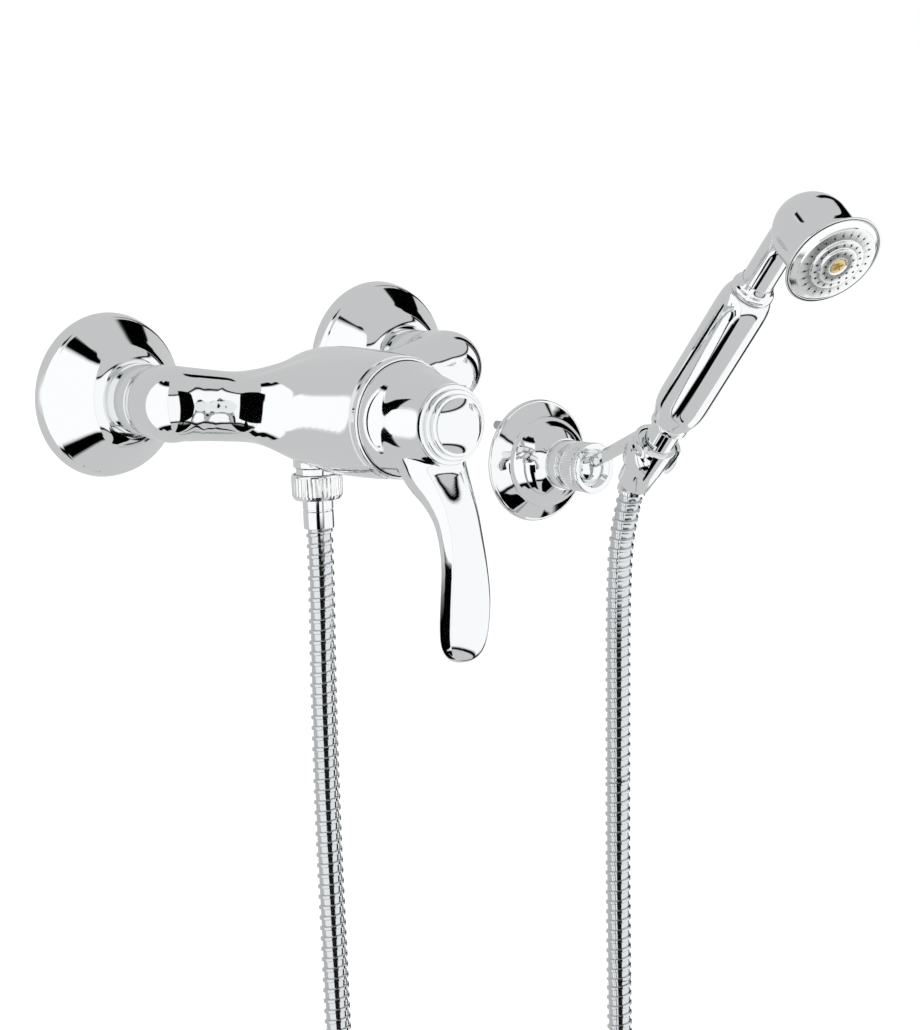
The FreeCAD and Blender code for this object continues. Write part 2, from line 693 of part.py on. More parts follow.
def cap_ring():
    """Stepped ring on the front of the hub, with a spigot in the hub's recess."""
    axis = V(0, 0, -BARREL_DROP)
    low = HUB_FRONT + SEAT_GAP
    moves = []
    height = low
    for step in range(CAP_STEPS):
        radius = CAP_R - step * CAP_STEP
        top = height + CAP_STEP_HEIGHT
        moves.append(straight((radius, height), (radius, top - 0.5)))
        moves.append(arc((radius - 0.15, top - 0.15), (radius - 0.5, top)))
        height = top
    moves.append(straight((0, height)))
    solid = turned((0, low), moves, axis, OUT)
    spigot = rod(CAP_RECESS_R - 0.3, low - 2.7, low + 0.5, axis, OUT)
    return solid.fuse(spigot).cut(rod(CAP_HOLE_R, low - 4, height + 1, axis, OUT))


def cap_button():
    """Domed middle of the cap."""
    axis = V(0, 0, -BARREL_DROP)
    low = HUB_FRONT + 2 * SEAT_GAP + CAP_STEPS * CAP_STEP_HEIGHT
    crown_r = (BUTTON_R ** 2 + (BUTTON_RISE - 0.5) ** 2) / (2 * (BUTTON_RISE - 0.5))
    crown = ball(crown_r, axis + OUT * (low + BUTTON_RISE - crown_r))
    dome = rod(BUTTON_R, low, low + BUTTON_RISE + 1, axis, OUT).common(crown)
    return dome.fuse(rod(CAP_HOLE_R - 0.1, low - 8.0, low + 0.4, axis, OUT))


def outlet_point():
    """Axis of the mixer's outlet at the height of the arms."""
    return V(0, -OUTLET_OUT, 0)


def outlet_washer():
    """Fibre washer above the outlet nipple."""
    low = OUTLET_SEAT + SEAT_GAP / 2
    return tube(OUTLET_THREAD_R - 0.3, WATERWAY_R, low, low + OUTLET_WASHER, outlet_point(), DOWN)


def outlet_nipple():
    """Threaded outlet nipple, screwed into the body from below."""
    low = OUTLET_SEAT + OUTLET_WASHER + SEAT_GAP
    solid = turned((WATERWAY_R, low), [straight(
        (OUTLET_THREAD_R, low), (OUTLET_THREAD_R, OUTLET_BODY_THREAD_END), (OUTLET_SHANK_R, OUTLET_BODY_THREAD_END + 0.6),
        (OUTLET_SHANK_R, OUTLET_THREAD_TOP - 0.6), (OUTLET_THREAD_R, OUTLET_THREAD_TOP),
        (OUTLET_THREAD_R, OUTLET_END - 0.6), (OUTLET_THREAD_R - 0.6, OUTLET_END), (WATERWAY_R, OUTLET_END))],
        outlet_point(), DOWN)
    return solid


def check_valve():
    """Non-return valve that slides into the outlet nipple: a sleeve, three ribs and a poppet."""
    base = outlet_point()
    solid = tube(VALVE_R, VALVE_R - 1.3, VALVE_TOP, VALVE_TOP + VALVE_LENGTH, base, DOWN)
    poppet = rod(2.6, VALVE_TOP + 2.0, VALVE_TOP + VALVE_LENGTH - 1.0, base, DOWN)
    ribs = []
    for index in range(3):
        rib = box(0, VALVE_R - 0.6, -OUTLET_OUT - 0.5, -OUTLET_OUT + 0.5, -VALVE_TOP - 7.0, -VALVE_TOP - 3.0)
        rib.rotate(base, UP, 120.0 * index)
        ribs.append(rib)
    return solid.fuse([poppet] + ribs)


def ridged(shape, radius, ridges, low, high, base, direction, depth=0.45):
    """Shape with straight grooves cut along its outside, as knurling."""
    width = math.pi * radius / ridges
    grooves = []
    for index in range(ridges):
        groove = box(radius - depth, radius + 2, -width / 2, width / 2, low, high)
        groove.rotate(V(0, 0, 0), UP, 360.0 * index / ridges)
        grooves.append(groove)
    return shape.cut(moved(Part.makeCompound(grooves), base, direction))


def hose_nut():
    """Ridged nut that draws the hose end onto the outlet nipple."""
    base = outlet_point()
    outer = turned((0, HOSE_NUT_TOP), [straight(
        (HOSE_NUT_R - 0.4, HOSE_NUT_TOP), (HOSE_NUT_R, HOSE_NUT_TOP + 0.4), (HOSE_NUT_R, HOSE_NUT_BOTTOM - 1.6),
        (HOSE_NUT_R - 1.0, HOSE_NUT_BOTTOM), (0, HOSE_NUT_BOTTOM))], base, DOWN)
    solid = outer.cut(rod(OUTLET_THREAD_R + THREAD_GAP, HOSE_NUT_TOP - 1, HOSE_NUT_BOTTOM - HOSE_NUT_LIP, base, DOWN))
    solid = solid.cut(rod(FERRULE_R + 0.45, HOSE_NUT_TOP, HOSE_NUT_BOTTOM + 1, base, DOWN))
    return ridged(solid, HOSE_NUT_R, 36, HOSE_NUT_TOP + 0.9, HOSE_NUT_BOTTOM - 2.0, base, DOWN, 0.35)


def hose_washer_low():
    """Rubber washer between the outlet nipple and the hose end."""
    low = OUTLET_END + SEAT_GAP / 2
    return tube(OUTLET_THREAD_R - 0.5, 4.6, low, low + HOSE_WASHER, outlet_point(), DOWN)


def hose_ferrule_low():
    """Flanged sleeve crimped on the lower end of the hose."""
    base = outlet_point()
    low = OUTLET_END + HOSE_WASHER + SEAT_GAP
    flange = rod(OUTLET_THREAD_R - 0.5, low, low + FERRULE_FLANGE, base, DOWN)
    sleeve = turned((0, low), [straight((FERRULE_R, low), (FERRULE_R, FERRULE_END - 0.7),
                                        (FERRULE_R - 0.6, FERRULE_END), (0, FERRULE_END))], base, DOWN)
    return flange.fuse(sleeve).cut(rod(HOSE_BORE_D / 2, low - 1, FERRULE_END + 1, base, DOWN))


def handset_axis():
    """Direction of the hand shower's axis, leaning out of the wall."""
    lean = math.radians(HANDSET_LEAN)
    return V(0, -math.sin(lean), math.cos(lean))


def along_handset(distance):
    """Point on the hand shower's axis."""
    return HANDSET_FOOT + handset_axis() * distance


def hose_end_direction():
    """Direction in which the hose leaves the cone nut, nearer to the vertical than the nut."""
    lean = math.radians(HANDSET_LEAN - HOSE_END_BEND)
    return V(0, math.sin(lean), -math.cos(lean))


def hose_end_point():
    """Centre of the end face of the hose's upper tail."""
    return along_handset(CONE_BOTTOM) + hose_end_direction() * HOSE_TAIL_LENGTH


def route_vectors(name):
    """A hose stretch's route, the top one ending square on the upper tail."""
    routes = {"hose_main": HOSE_MAIN_ROUTE, "hose_swing": HOSE_SWING_ROUTE, "hose_top": HOSE_TOP_ROUTE}
    points = [V(*point) for point in routes[name]]
    if name == "hose_top":
        points.append(hose_end_point() + hose_end_direction() * HOSE_END_RUN)
        points.append(hose_end_point())
    return points


def rounded_route(points, name):
    """Straight runs joined by tangent arcs, as a list of edges, with the arc radii printed."""
    edges = []
    here = points[0]
    radii = []
    for before, corner, after in zip(points, points[1:], points[2:]):
        run_in = (corner - before).Length
        run_out = (after - corner).Length
        way_in = (corner - before).normalize()
        way_out = (after - corner).normalize()
        half_turn = way_in.getAngle(way_out) / 2
        trim = 0.45 * min(run_in, run_out)
        start = corner - way_in * trim
        end = corner + way_out * trim
        radius = trim / math.tan(half_turn)
        radii.append(radius)
        inward = (way_out - way_in).normalize()
        middle = corner + inward * (radius / math.cos(half_turn) - radius)
        edges.append(Part.LineSegment(here, start).toShape())
        edges.append(Part.Arc(start, middle, end).toShape())
        here = end
    edges.append(Part.LineSegment(here, points[-1]).toShape())
    length = sum(edge.Length for edge in edges)
    tightest = min(radii) if radii else 0
    print(name, "length", round(length, 1), "smallest radius", round(tightest, 1), "=", round(tightest / HOSE_D, 1), "d")
    return edges


def route_station(edges, distance):
    """Point and direction at a distance along a list of edges."""
    for edge in edges:
        if distance <= edge.Length:
            parameter = edge.getParameterByLength(max(distance, 0.0))
            return edge.valueAt(parameter), edge.tangentAt(parameter)
        distance -= edge.Length
    last = edges[-1]
    return last.valueAt(last.LastParameter), last.tangentAt(last.LastParameter)


def hose_stretch(name):
    """One stretch of the ribbed hose: four circles to a rib on a steady sideways axis, and a bore."""
    edges = rounded_route(route_vectors(name), name)
    length = sum(edge.Length for edge in edges)
    plain = HOSE_D
    ribs = RIB_COUNTS[name]
    pitch = (length - 2 * plain) / ribs
    stations = [(0.0, HOSE_VALLEY_D / 2)]
    for rib in range(ribs):
        low = plain + rib * pitch
        stations.append((low + 0.12 * pitch, HOSE_VALLEY_D / 2))
        stations.append((low + 0.24 * pitch, HOSE_D / 2))
        stations.append((low + 0.86 * pitch, HOSE_D / 2))
        stations.append((low + 0.98 * pitch, HOSE_VALLEY_D / 2))
    stations.append((length, HOSE_VALLEY_D / 2))
    outer = []
    inner = []
    for distance, radius in stations:
        point, way = route_station(edges, distance)
        side = V(0, 1, 0)
        across = way.cross(side).normalize()
        for wires, size in ((outer, radius), (inner, HOSE_BORE_D / 2)):
            circle = Part.Circle(point, way, size)
            circle.XAxis = side - way * side.dot(way)
            wires.append(Part.Wire([circle.toShape()]))
    shell = Part.makeLoft(outer, True, True)
    bore = Part.makeLoft(inner[::4] + [inner[-1]] if (len(inner) - 1) % 4 else inner[::4], True, True)
    solid = shell.cut(bore)
    print(name, "ribs", ribs, "volume", round(solid.Volume), "tube estimate",
          round(math.pi / 4 * (HOSE_D ** 2 - HOSE_BORE_D ** 2) * length))
    return solid


def holder_base(out=0.0):
    """Point on the wall holder's axis at a distance from the wall."""
    return V(HOLDER_X, -out, -HOLDER_DROP)


def holder_dome_moves(inset):
    """Moves of the holder rosette's face: a sloping brim and a dome."""
    brim = HOLDER_ROSETTE_R - inset
    return [
        straight((brim, 1.0)),
        arc((brim - 0.4, 2.0 - inset * 0.3), (brim - 1.4, 2.5 - inset * 0.5)),
        curve((HOLDER_DOME_R + 3.4 - inset * 0.4, 5.0 - inset), (HOLDER_DOME_R - inset * 0.4, HOLDER_DOME_START - inset)),
        arc((18.6 - inset * 0.6, 16.2 - inset * 0.8), (12.4, HOLDER_ROSETTE_DEPTH - inset)),
    ]


def holder_rosette():
    """Domed cover of the wall holder, a thin shell."""
    depth = HOLDER_ROSETTE_DEPTH
    outer = turned((0, 0), [straight((HOLDER_ROSETTE_R, 0))] + holder_dome_moves(0) + [straight((0, depth))],
                   holder_base(), OUT)
    inner = turned((0, -1), [straight((HOLDER_ROSETTE_R - ROSETTE_WALL, -1))] + holder_dome_moves(ROSETTE_WALL)
                   + [straight((0, depth - ROSETTE_WALL))], holder_base(), OUT)
    return outer.cut(inner).cut(rod(HOLDER_ROSETTE_HOLE_R, 0, depth + 1, holder_base(), OUT))


def screw_places():
    """The two fixing screws of the wall holder, one above the other."""
    half = HOLDER_SCREW_SPACING / 2
    return [holder_base() + UP * half, holder_base() - UP * half]


def holder_plate():
    """Fixing plate on the wall, with a tapped middle and two screw holes."""
    solid = rod(HOLDER_PLATE_R, 0, HOLDER_PLATE_THICK, holder_base(), OUT)
    solid = solid.cut(rod(STUD_R + 0.02, -1, HOLDER_PLATE_THICK + 1, holder_base(), OUT))
    for place in screw_places():
        solid = solid.cut(rod(HOLDER_SCREW_R + 0.3, -1, HOLDER_PLATE_THICK + 1, place, OUT))
    return solid


def holder_screws():
    """The two wall screws of the holder, a group of separate solids."""
    screws = []
    for place in screw_places():
        thread = rod(HOLDER_SCREW_R, -HOLDER_SCREW_LENGTH, -HOLDER_THREAD_START, place, OUT)
        shank = rod(HOLDER_SCREW_SHANK_R, -2.0, HOLDER_PLATE_THICK + 0.5, place, OUT)
        seat = HOLDER_PLATE_THICK + 0.05
        head = turned((0, seat), [straight((4.2, seat), (4.2, seat + 1.2), (3.2, seat + 2.2), (0, seat + 2.2))],
                      place, OUT)
        cross = box(-2.2, 2.2, -0.4, 0.4, seat + 1.2, seat + 3.0)
        screws.append(thread.fuse([shank, head]).cut(moved(cross, place, OUT)))
    return Part.makeCompound(screws)


def holder_stud():
    """Threaded stud between the fixing plate and the socket."""
    return rod(STUD_R, 0.3, 27.0, holder_base(), OUT)


def holder_socket():
    """Socket of the ball joint, with a collar against the rosette."""
    base = holder_base()
    back = HOLDER_ROSETTE_DEPTH - 3.0
    seat = HOLDER_ROSETTE_DEPTH + SEAT_GAP
    collar = turned((0, back), [
        straight((HOLDER_ROSETTE_HOLE_R - 0.2, back), (HOLDER_ROSETTE_HOLE_R - 0.2, seat), (SOCKET_COLLAR_R - 0.5, seat)),
        arc((SOCKET_COLLAR_R - 0.1, seat + 0.3), (SOCKET_COLLAR_R, seat + 1.0)),
        straight((SOCKET_COLLAR_R, 28.6)), arc((SOCKET_COLLAR_R - 0.35, 29.3), (SOCKET_COLLAR_R - 1.2, 29.6)),
        straight((SOCKET_COLLAR_R - 1.2, SOCKET_COLLAR_FRONT), (SOCKET_NECK_R, SOCKET_COLLAR_FRONT),
                 (SOCKET_NECK_R, SOCKET_NECK_FRONT), (0, SOCKET_NECK_FRONT))], base, OUT)
    solid = collar.cut(rod(STUD_R + 0.02, back - 1, 27.2, base, OUT))
    return solid.cut(ball(BALL_R + MOVING_GAP, holder_base(BALL_OUT)))


def clamp_knob():
    """Ridged ring nut that clamps the ball in its socket."""
    base = holder_base()
    lip_out = KNOB_FRONT - 2.2
    outer = turned((0, KNOB_BACK), [straight(
        (KNOB_R - 1.0, KNOB_BACK), (KNOB_R - 1.0, KNOB_KNURL_BACK), (KNOB_R, KNOB_KNURL_BACK),
        (KNOB_R, KNOB_KNURL_FRONT - 0.8), (KNOB_R - 0.7, KNOB_KNURL_FRONT - 0.8), (KNOB_R - 0.7, KNOB_KNURL_FRONT),
        (KNOB_RING_R, KNOB_KNURL_FRONT), (KNOB_RING_R, KNOB_FRONT - 0.7), (KNOB_RING_R - 0.7, KNOB_FRONT),
        (0, KNOB_FRONT))], base, OUT)
    solid = outer.cut(rod(SOCKET_NECK_R + THREAD_GAP, KNOB_BACK - 1, SOCKET_NECK_FRONT + 0.6, base, OUT))
    solid = solid.cut(ball(BALL_R + MOVING_GAP, holder_base(BALL_OUT)))
    mouth = turned((0, lip_out - 3), [straight(
        (KNOB_LIP_R, lip_out - 3), (KNOB_LIP_R, lip_out), (KNOB_MOUTH_R, KNOB_FRONT), (KNOB_MOUTH_R, KNOB_FRONT + 1),
        (0, KNOB_FRONT + 1))], base, OUT)
    solid = solid.cut(mouth)
    return ridged(solid, KNOB_R, KNOB_RIDGES, KNOB_KNURL_BACK + 0.5, KNOB_KNURL_FRONT - 1.4, base, OUT, 0.35)


def rod_direction():
    """Direction of the holder's rod out of the ball."""
    angle = math.radians(ROD_ELEVATION)
    return V(0, -math.cos(angle), math.sin(angle))


def holder_ball():
    """Ball of the joint, tapped for the rod."""
    centre = holder_base(BALL_OUT)
    solid = ball(BALL_R, centre)
    return solid.cut(rod(ROD_NECK_R + 0.02, 1.0, BALL_R + 1, centre, rod_direction()))


def cone_r(distance):
    """Radius of the cone nut's slow taper at a distance along the hand shower."""
    return CONE_TOP_R + (distance - CONE_TOP) * CONE_SLOPE


def past_top(distance):
    """Everything above a level on the hand shower's axis, as a wide bar."""
    return rod(3 * CRADLE_R, distance, distance + 80.0, HANDSET_FOOT, handset_axis())


def holder_arm():
    """Rod and cradle in one casting. The cradle is open on the side away from the wall."""
    centre = holder_base(BALL_OUT)
    way = rod_direction()
    axis = handset_axis()
    middle = (CRADLE_TOP + CRADLE_BOTTOM) / 2
    neck = rod(ROD_NECK_R, 2.0, ROD_SHOULDER + 1, centre, way)
    bar = rod(ROD_R, ROD_SHOULDER, (HANDSET_FOOT - centre).Length, centre, way)
    rim_low = CRADLE_TOP - 2.8
    cradle = turned((0, CRADLE_BOTTOM), [
        straight((CRADLE_RIM_R - 1.4, CRADLE_BOTTOM)),
        curve((CRADLE_RIM_R - 0.6, CRADLE_BOTTOM + 0.6), (CRADLE_R - 0.15, CRADLE_BOTTOM + 4.0), (CRADLE_R, middle - 0.6),
              (CRADLE_R - 0.3, middle + 3.0), (CRADLE_RIM_R - 0.3, rim_low)),
        straight((CRADLE_RIM_R, rim_low), (CRADLE_RIM_R, CRADLE_TOP - 0.5), (CRADLE_RIM_R - 0.5, CRADLE_TOP),
                 (0, CRADLE_TOP))], HANDSET_FOOT, axis)
    solid = neck.fuse([bar, cradle]).cut(past_top(rim_low - 0.3)).fuse(cradle)
    low = CRADLE_BOTTOM - 1
    top = CRADLE_TOP + 1
    bore = turned((0, low), [straight((cone_r(low) + MOVING_GAP, low), (cone_r(top) + MOVING_GAP, top), (0, top))],
                  HANDSET_FOOT, axis)
    half = CRADLE_SLOT / 2
    slot = box(-half, half, 0, 2 * CRADLE_R, CRADLE_BOTTOM - 1, CRADLE_TOP + 1)
    lean = FreeCAD.Rotation(ACROSS, HANDSET_LEAN)
    turn = FreeCAD.Rotation(UP, 180)
    slot.Placement = FreeCAD.Placement(HANDSET_FOOT, lean.multiply(turn))
    return solid.cut(bore).cut(slot)


def cone_nut():
    """Tapered nut of the hose that seats in the cradle and screws on the hand shower."""
    axis = handset_axis()
    step_r = cone_r(CONE_STEP)
    outer = turned((0, CONE_BOTTOM), [straight(
        (CONE_BOTTOM_R - 0.7, CONE_BOTTOM), (CONE_BOTTOM_R, CONE_BOTTOM + 0.7), (CONE_SKIRT_R, CONE_STEP - 0.8),
        (CONE_SKIRT_R, CONE_STEP), (step_r - 0.2, CONE_STEP), (step_r, CONE_STEP + 0.3),
        (CONE_TOP_R, CONE_TOP - 0.6), (CONE_TOP_R - 0.8, CONE_TOP), (0, CONE_TOP))], HANDSET_FOOT, axis)
    thread = rod(TAIL_THREAD_R + THREAD_GAP, CONE_BOTTOM + 2.4, CONE_TOP + 1, HANDSET_FOOT, axis)
    mouth = rod(TAIL_THREAD_R - 0.9, CONE_BOTTOM - 1, CONE_TOP, HANDSET_FOOT, axis)
    return outer.cut(thread).cut(mouth)


def hose_washer_high():
    """Rubber washer between the hose's upper tail and the hand shower."""
    return tube(TAIL_THREAD_R - 0.4, 3.4, TAIL_END - 1.4, TAIL_END - SEAT_GAP / 2, HANDSET_FOOT, handset_axis())


def hose_ferrule_high():
    """Hose tail in the cone nut: a flanged neck, a short bend towards the vertical and a sleeve."""
    axis = handset_axis()
    way = hose_end_direction()
    top = TAIL_END - 1.4 - SEAT_GAP / 2
    flange_low = CONE_BOTTOM + 2.4 + SEAT_GAP
    neck_r = TAIL_THREAD_R - 1.3
    knee = along_handset(CONE_BOTTOM - 0.4)
    run = HOSE_TAIL_BEND_R * math.tan(math.radians(HOSE_END_BEND / 2))
    start = knee + axis * run
    turn_centre = start + axis.cross(ACROSS) * -HOSE_TAIL_BEND_R
    reach = (hose_end_point() - knee).dot(way)
    layers = []
    for radius, past in ((neck_r, 0.0), (HOSE_TAIL_BORE_R, 1.0)):
        disc = Part.Face(Part.Wire([Part.makeCircle(radius, start, axis)]))
        bend = disc.revolve(turn_centre, V(-1, 0, 0), HOSE_END_BEND)
        upper = rod(radius, 0, (along_handset(top + past) - start).dot(axis), start, axis)
        lower = rod(radius, run, reach + past, knee, way)
        layers.append([upper, bend, lower])
    flange = rod(TAIL_THREAD_R - 0.3, flange_low, top, HANDSET_FOOT, axis)
    sleeve = rod(FERRULE_R, run + 1.1, reach, knee, way)
    solid = flange.fuse(layers[0] + [sleeve])
    for piece in layers[1]:
        solid = solid.cut(piece)
    return solid


def handset_tail():
    """Lower fitting of the hand shower: ring, sleeve and thread."""
    ring_low = -2.4
    spigot_r = HANDLE_OUTLINE[0][0] - HANDLE_WALL - 0.1
    return turned((TAIL_BORE_R - 0.6, TAIL_END), [straight(
        (TAIL_THREAD_R, TAIL_END), (TAIL_THREAD_R, CONE_TOP + 0.3), (TAIL_R, CONE_TOP + 1.2), (TAIL_R, ring_low),
        (TAIL_RING_R, ring_low), (TAIL_RING_R, TAIL_SHOULDER), (spigot_r, TAIL_SHOULDER), (spigot_r, 6.0),
        (TUBE_R + 0.05, 6.0), (TUBE_R + 0.05, 2.0), (TAIL_BORE_R - 0.6, 2.0))], HANDSET_FOOT, handset_axis())


def handle_moves(inset):
    """Outer line of the handle, drawn in by its wall."""
    return [curve(*[(radius - inset, height) for radius, height in HANDLE_OUTLINE[1:]])]


def handset_handle():
    """Hollow handle sleeve of the hand shower."""
    first = HANDLE_OUTLINE[0]
    last = HANDLE_OUTLINE[-1]
    outer = turned((0, first[1]), [straight(first)] + handle_moves(0) + [straight((0, last[1]))],
                   HANDSET_FOOT, handset_axis())
    inner = turned((0, first[1] - 1), [straight((first[0] - HANDLE_WALL, first[1] - 1), (first[0] - HANDLE_WALL, first[1]))]
                   + handle_moves(HANDLE_WALL) + [straight((last[0] - HANDLE_WALL, last[1] + 1), (0, last[1] + 1))],
                   HANDSET_FOOT, handset_axis())
    return outer.cut(inner)


def inner_tube():
    """Water tube inside the handle."""
    return tube(TUBE_R, TUBE_BORE_R, 2.2, NECK_SECTIONS[0][0] + 4.0, HANDSET_FOOT, handset_axis())


def handset_collar():
    """Rounded collar between handle and neck."""
    low = HANDLE_LENGTH
    top = low + COLLAR_THICK
    bore = NECK_R + 0.05
    return turned((bore, low), [
        straight((COLLAR_R - 1.2, low)), arc((COLLAR_R, low + 2.2), (COLLAR_R - 1.0, low + 4.4)),
        curve((COLLAR_R - 1.6, low + 5.2), (bore + 0.5, top + 2.6)),
        straight((bore, top + 2.8))], HANDSET_FOOT, handset_axis())


def handset_frame(shape):
    """Shape drawn upright and facing -Y, turned and leaned to the hand shower's place."""
    placed = shape.copy()
    turn = FreeCAD.Rotation(UP, -HANDSET_TURN)
    lean = FreeCAD.Rotation(ACROSS, HANDSET_LEAN)
    placed.Placement = FreeCAD.Placement(HANDSET_FOOT, lean.multiply(turn)).multiply(placed.Placement)
    return placed


def head_centre():
    """Centre of the head's round back, in the upright hand shower."""
    return V(0, -HEAD_ASIDE, HEAD_ALONG)


def face_direction():
    """Direction of the spray, in the upright hand shower."""
    lift = math.radians(HEAD_LIFT)
    return V(0, -math.cos(lift), math.sin(lift))


def handset_neck():
    """Neck of the hand shower, which leans into the round back of the head."""
    wires = [Part.Wire([Part.makeCircle(radius, V(0, -aside, height), UP)]) for height, aside, radius in NECK_SECTIONS]
    return Part.makeLoft(wires, True, False)


def handset_head():
    """Neck and head of the hand shower in one hollow casting."""
    centre = head_centre()
    way = face_direction()
    round_back = ball(HEAD_R, centre)
    drum = turned((0, 0), [
        straight((HEAD_R, 0)),
        curve((HEAD_R + 0.15, FACE_FORWARD * 0.4), (HEAD_R + 0.6, FACE_FORWARD * 0.64),
              (HEAD_R + 1.7, FACE_FORWARD * 0.8), (FACE_R - 2.4, FACE_FORWARD - 1.9), (FACE_R, FACE_FORWARD - 0.9)),
        straight((FACE_R, FACE_FORWARD - 0.3), (FACE_R - 0.3, FACE_FORWARD), (0, FACE_FORWARD))], centre, way)
    solid = handset_neck().fuse([round_back, drum])
    inner_r = HEAD_R - HEAD_WALL
    hollow = ball(inner_r, centre).fuse(rod(inner_r, 0, FACE_FORWARD, centre, way))
    mouth = rod(FACE_RECESS_R, FACE_FORWARD - FACE_RECESS, FACE_FORWARD + 1, centre, way)
    gasket_floor = rose_level() - 1.2
    groove = tube(GASKET_OUTER_R + 0.1, GASKET_INNER_R - 0.1, gasket_floor, FACE_FORWARD, centre, way)
    solid = solid.cut(hollow).cut(mouth).cut(groove)
    post = rod(POST_R, 0.8 - HEAD_R, FACE_FORWARD + 2.7, centre, way)
    solid = solid.fuse(post)
    solid = solid.cut(rod(NECK_BORE_R, NECK_SECTIONS[0][0] - 1, HEAD_ALONG - 11.0))
    solid = solid.cut(rod(ROSE_SCREW_R + 0.03, FACE_FORWARD - 12.0, FACE_FORWARD + 4, centre, way))
    return handset_frame(solid)


def rose_level():
    """Distance of the spray plate's seat from the head's centre, along the spray."""
    return FACE_FORWARD - FACE_RECESS


def spray_plate():
    """Drilled spray plate that stands out in three low steps, with a sunk place for its screw."""
    face = FACE_FORWARD
    back = rose_level() + 0.05
    seat = face + ROSE_SCREW_SEAT
    solid = turned((ROSE_SCREW_R + 0.3, seat - 0.65), [straight(
        (8.6, seat - 0.65), (8.8, face + 1.9), (12.2, face + 1.8), (12.4, face + 0.8), (17.0, face + 0.7),
        (17.2, back), (ROSE_R, back), (ROSE_R, face - 0.4), (21.6, face + 0.1), (19.7, face + 1.4),
        (19.3, face + 2.3), (13.2, face + 2.35), (13.0, face + 3.3), (9.6, face + 3.35), (9.4, face + 4.3),
        (4.5, face + 4.35), (ROSE_SCREW_HEAD_R + 0.2, seat), (ROSE_SCREW_R + 0.3, seat))],
        head_centre(), face_direction())
    holes = []
    for ring_r, count in ROSE_RINGS:
        for index in range(count):
            angle = 2 * math.pi * (index + 0.5) / count
            place = V(ring_r * math.cos(angle), ring_r * math.sin(angle), face - 2.0)
            hole = Part.makeCylinder(ROSE_HOLE_R, 8.0, place)
            holes.append(moved(hole, head_centre(), face_direction()))
    return handset_frame(solid.cut(Part.makeCompound(holes)))


def rose_gasket():
    """Rubber ring behind the spray plate."""
    low = rose_level() - 1.15
    ring = tube(GASKET_OUTER_R, GASKET_INNER_R, low, rose_level(), head_centre(), face_direction())
    return handset_frame(ring)


def rose_screw():
    """Brass screw with a crossed head in the middle of the spray plate."""
    low = FACE_FORWARD + ROSE_SCREW_SEAT + 0.05
    centre = head_centre()
    way = face_direction()
    shank = rod(ROSE_SCREW_R, FACE_FORWARD - 10.0, low + 0.3, centre, way)
    head = turned((0, low), [straight((ROSE_SCREW_HEAD_R, low), (ROSE_SCREW_HEAD_R, low + 0.4)),
                             arc((ROSE_SCREW_HEAD_R * 0.6, low + 0.9), (0, low + 1.1))], centre, way)
    solid = shank.fuse(head)
    for angle in (0, 90):
        cross = box(-2.4, 2.4, -0.4, 0.4, low + 0.5, low + 3.0)
        cross.rotate(V(0, 0, 0), UP, angle + 45)
        solid = solid.cut(moved(cross, centre, way))
    return handset_frame(solid)


def all_nodes():
    """Every sub-part by its node name."""
    nodes = {}
    for name, side in (("left", -1), ("right", 1)):
        nodes["eccentric_union_" + name] = eccentric_union(side)
        nodes["rosette_" + name] = rosette(side)
        nodes["union_nut_" + name] = union_nut(side)
        nodes["filter_gasket_" + name] = filter_gasket(side)
        nodes["inlet_nipple_" + name] = inlet_nipple(side)
    makers = [
        mixer_body, port_seals, cartridge_base, cartridge_housing, fixed_disc, moving_disc, disc_driver,
        spindle_carrier, hinge_pin, cartridge_retainer, stem, lever, lever_screw, cap_ring, cap_button,
        outlet_washer, outlet_nipple, check_valve, hose_nut, hose_washer_low, hose_ferrule_low,
        holder_rosette, holder_plate, holder_screws, holder_stud, holder_socket, clamp_knob, holder_ball,
        holder_arm, cone_nut, hose_washer_high, hose_ferrule_high, handset_tail, handset_handle, inner_tube,
        handset_collar, handset_head, spray_plate, rose_gasket, rose_screw,
    ]
    for maker in makers:
        nodes[maker.__name__] = maker()
    for name in RIB_COUNTS:
        nodes[name] = hose_stretch(name)
    return nodes


def main():
    """Write one STEP file for each node, raised so that the wall threads are at the origin's height."""
    os.makedirs("parts", exist_ok=True)
    for name, shape in all_nodes().items():
        shape.translate(UP * UNION_OFFSET)
        if not shape.isValid():
            print("invalid", name)
        print(name, "solids", len(shape.Solids), "volume", round(shape.Volume, 1))
        shape.exportStep("parts/" + name + ".step")


main()
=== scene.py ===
"""A wall shower mixer with its ribbed hose, wall holder and hand shower, dressed over its CAD frame.

Sizes are millimetres about the axis of the mixer's arms: x along the wall, -y out of the wall, z up.
Each finished mesh is raised by the offset of the wall unions and turned into metres.
"""

import bisect
import json
import logging
import math
from dataclasses import dataclass, field
from enum import Enum

import bmesh
import bpy
from mathutils import Matrix, Vector

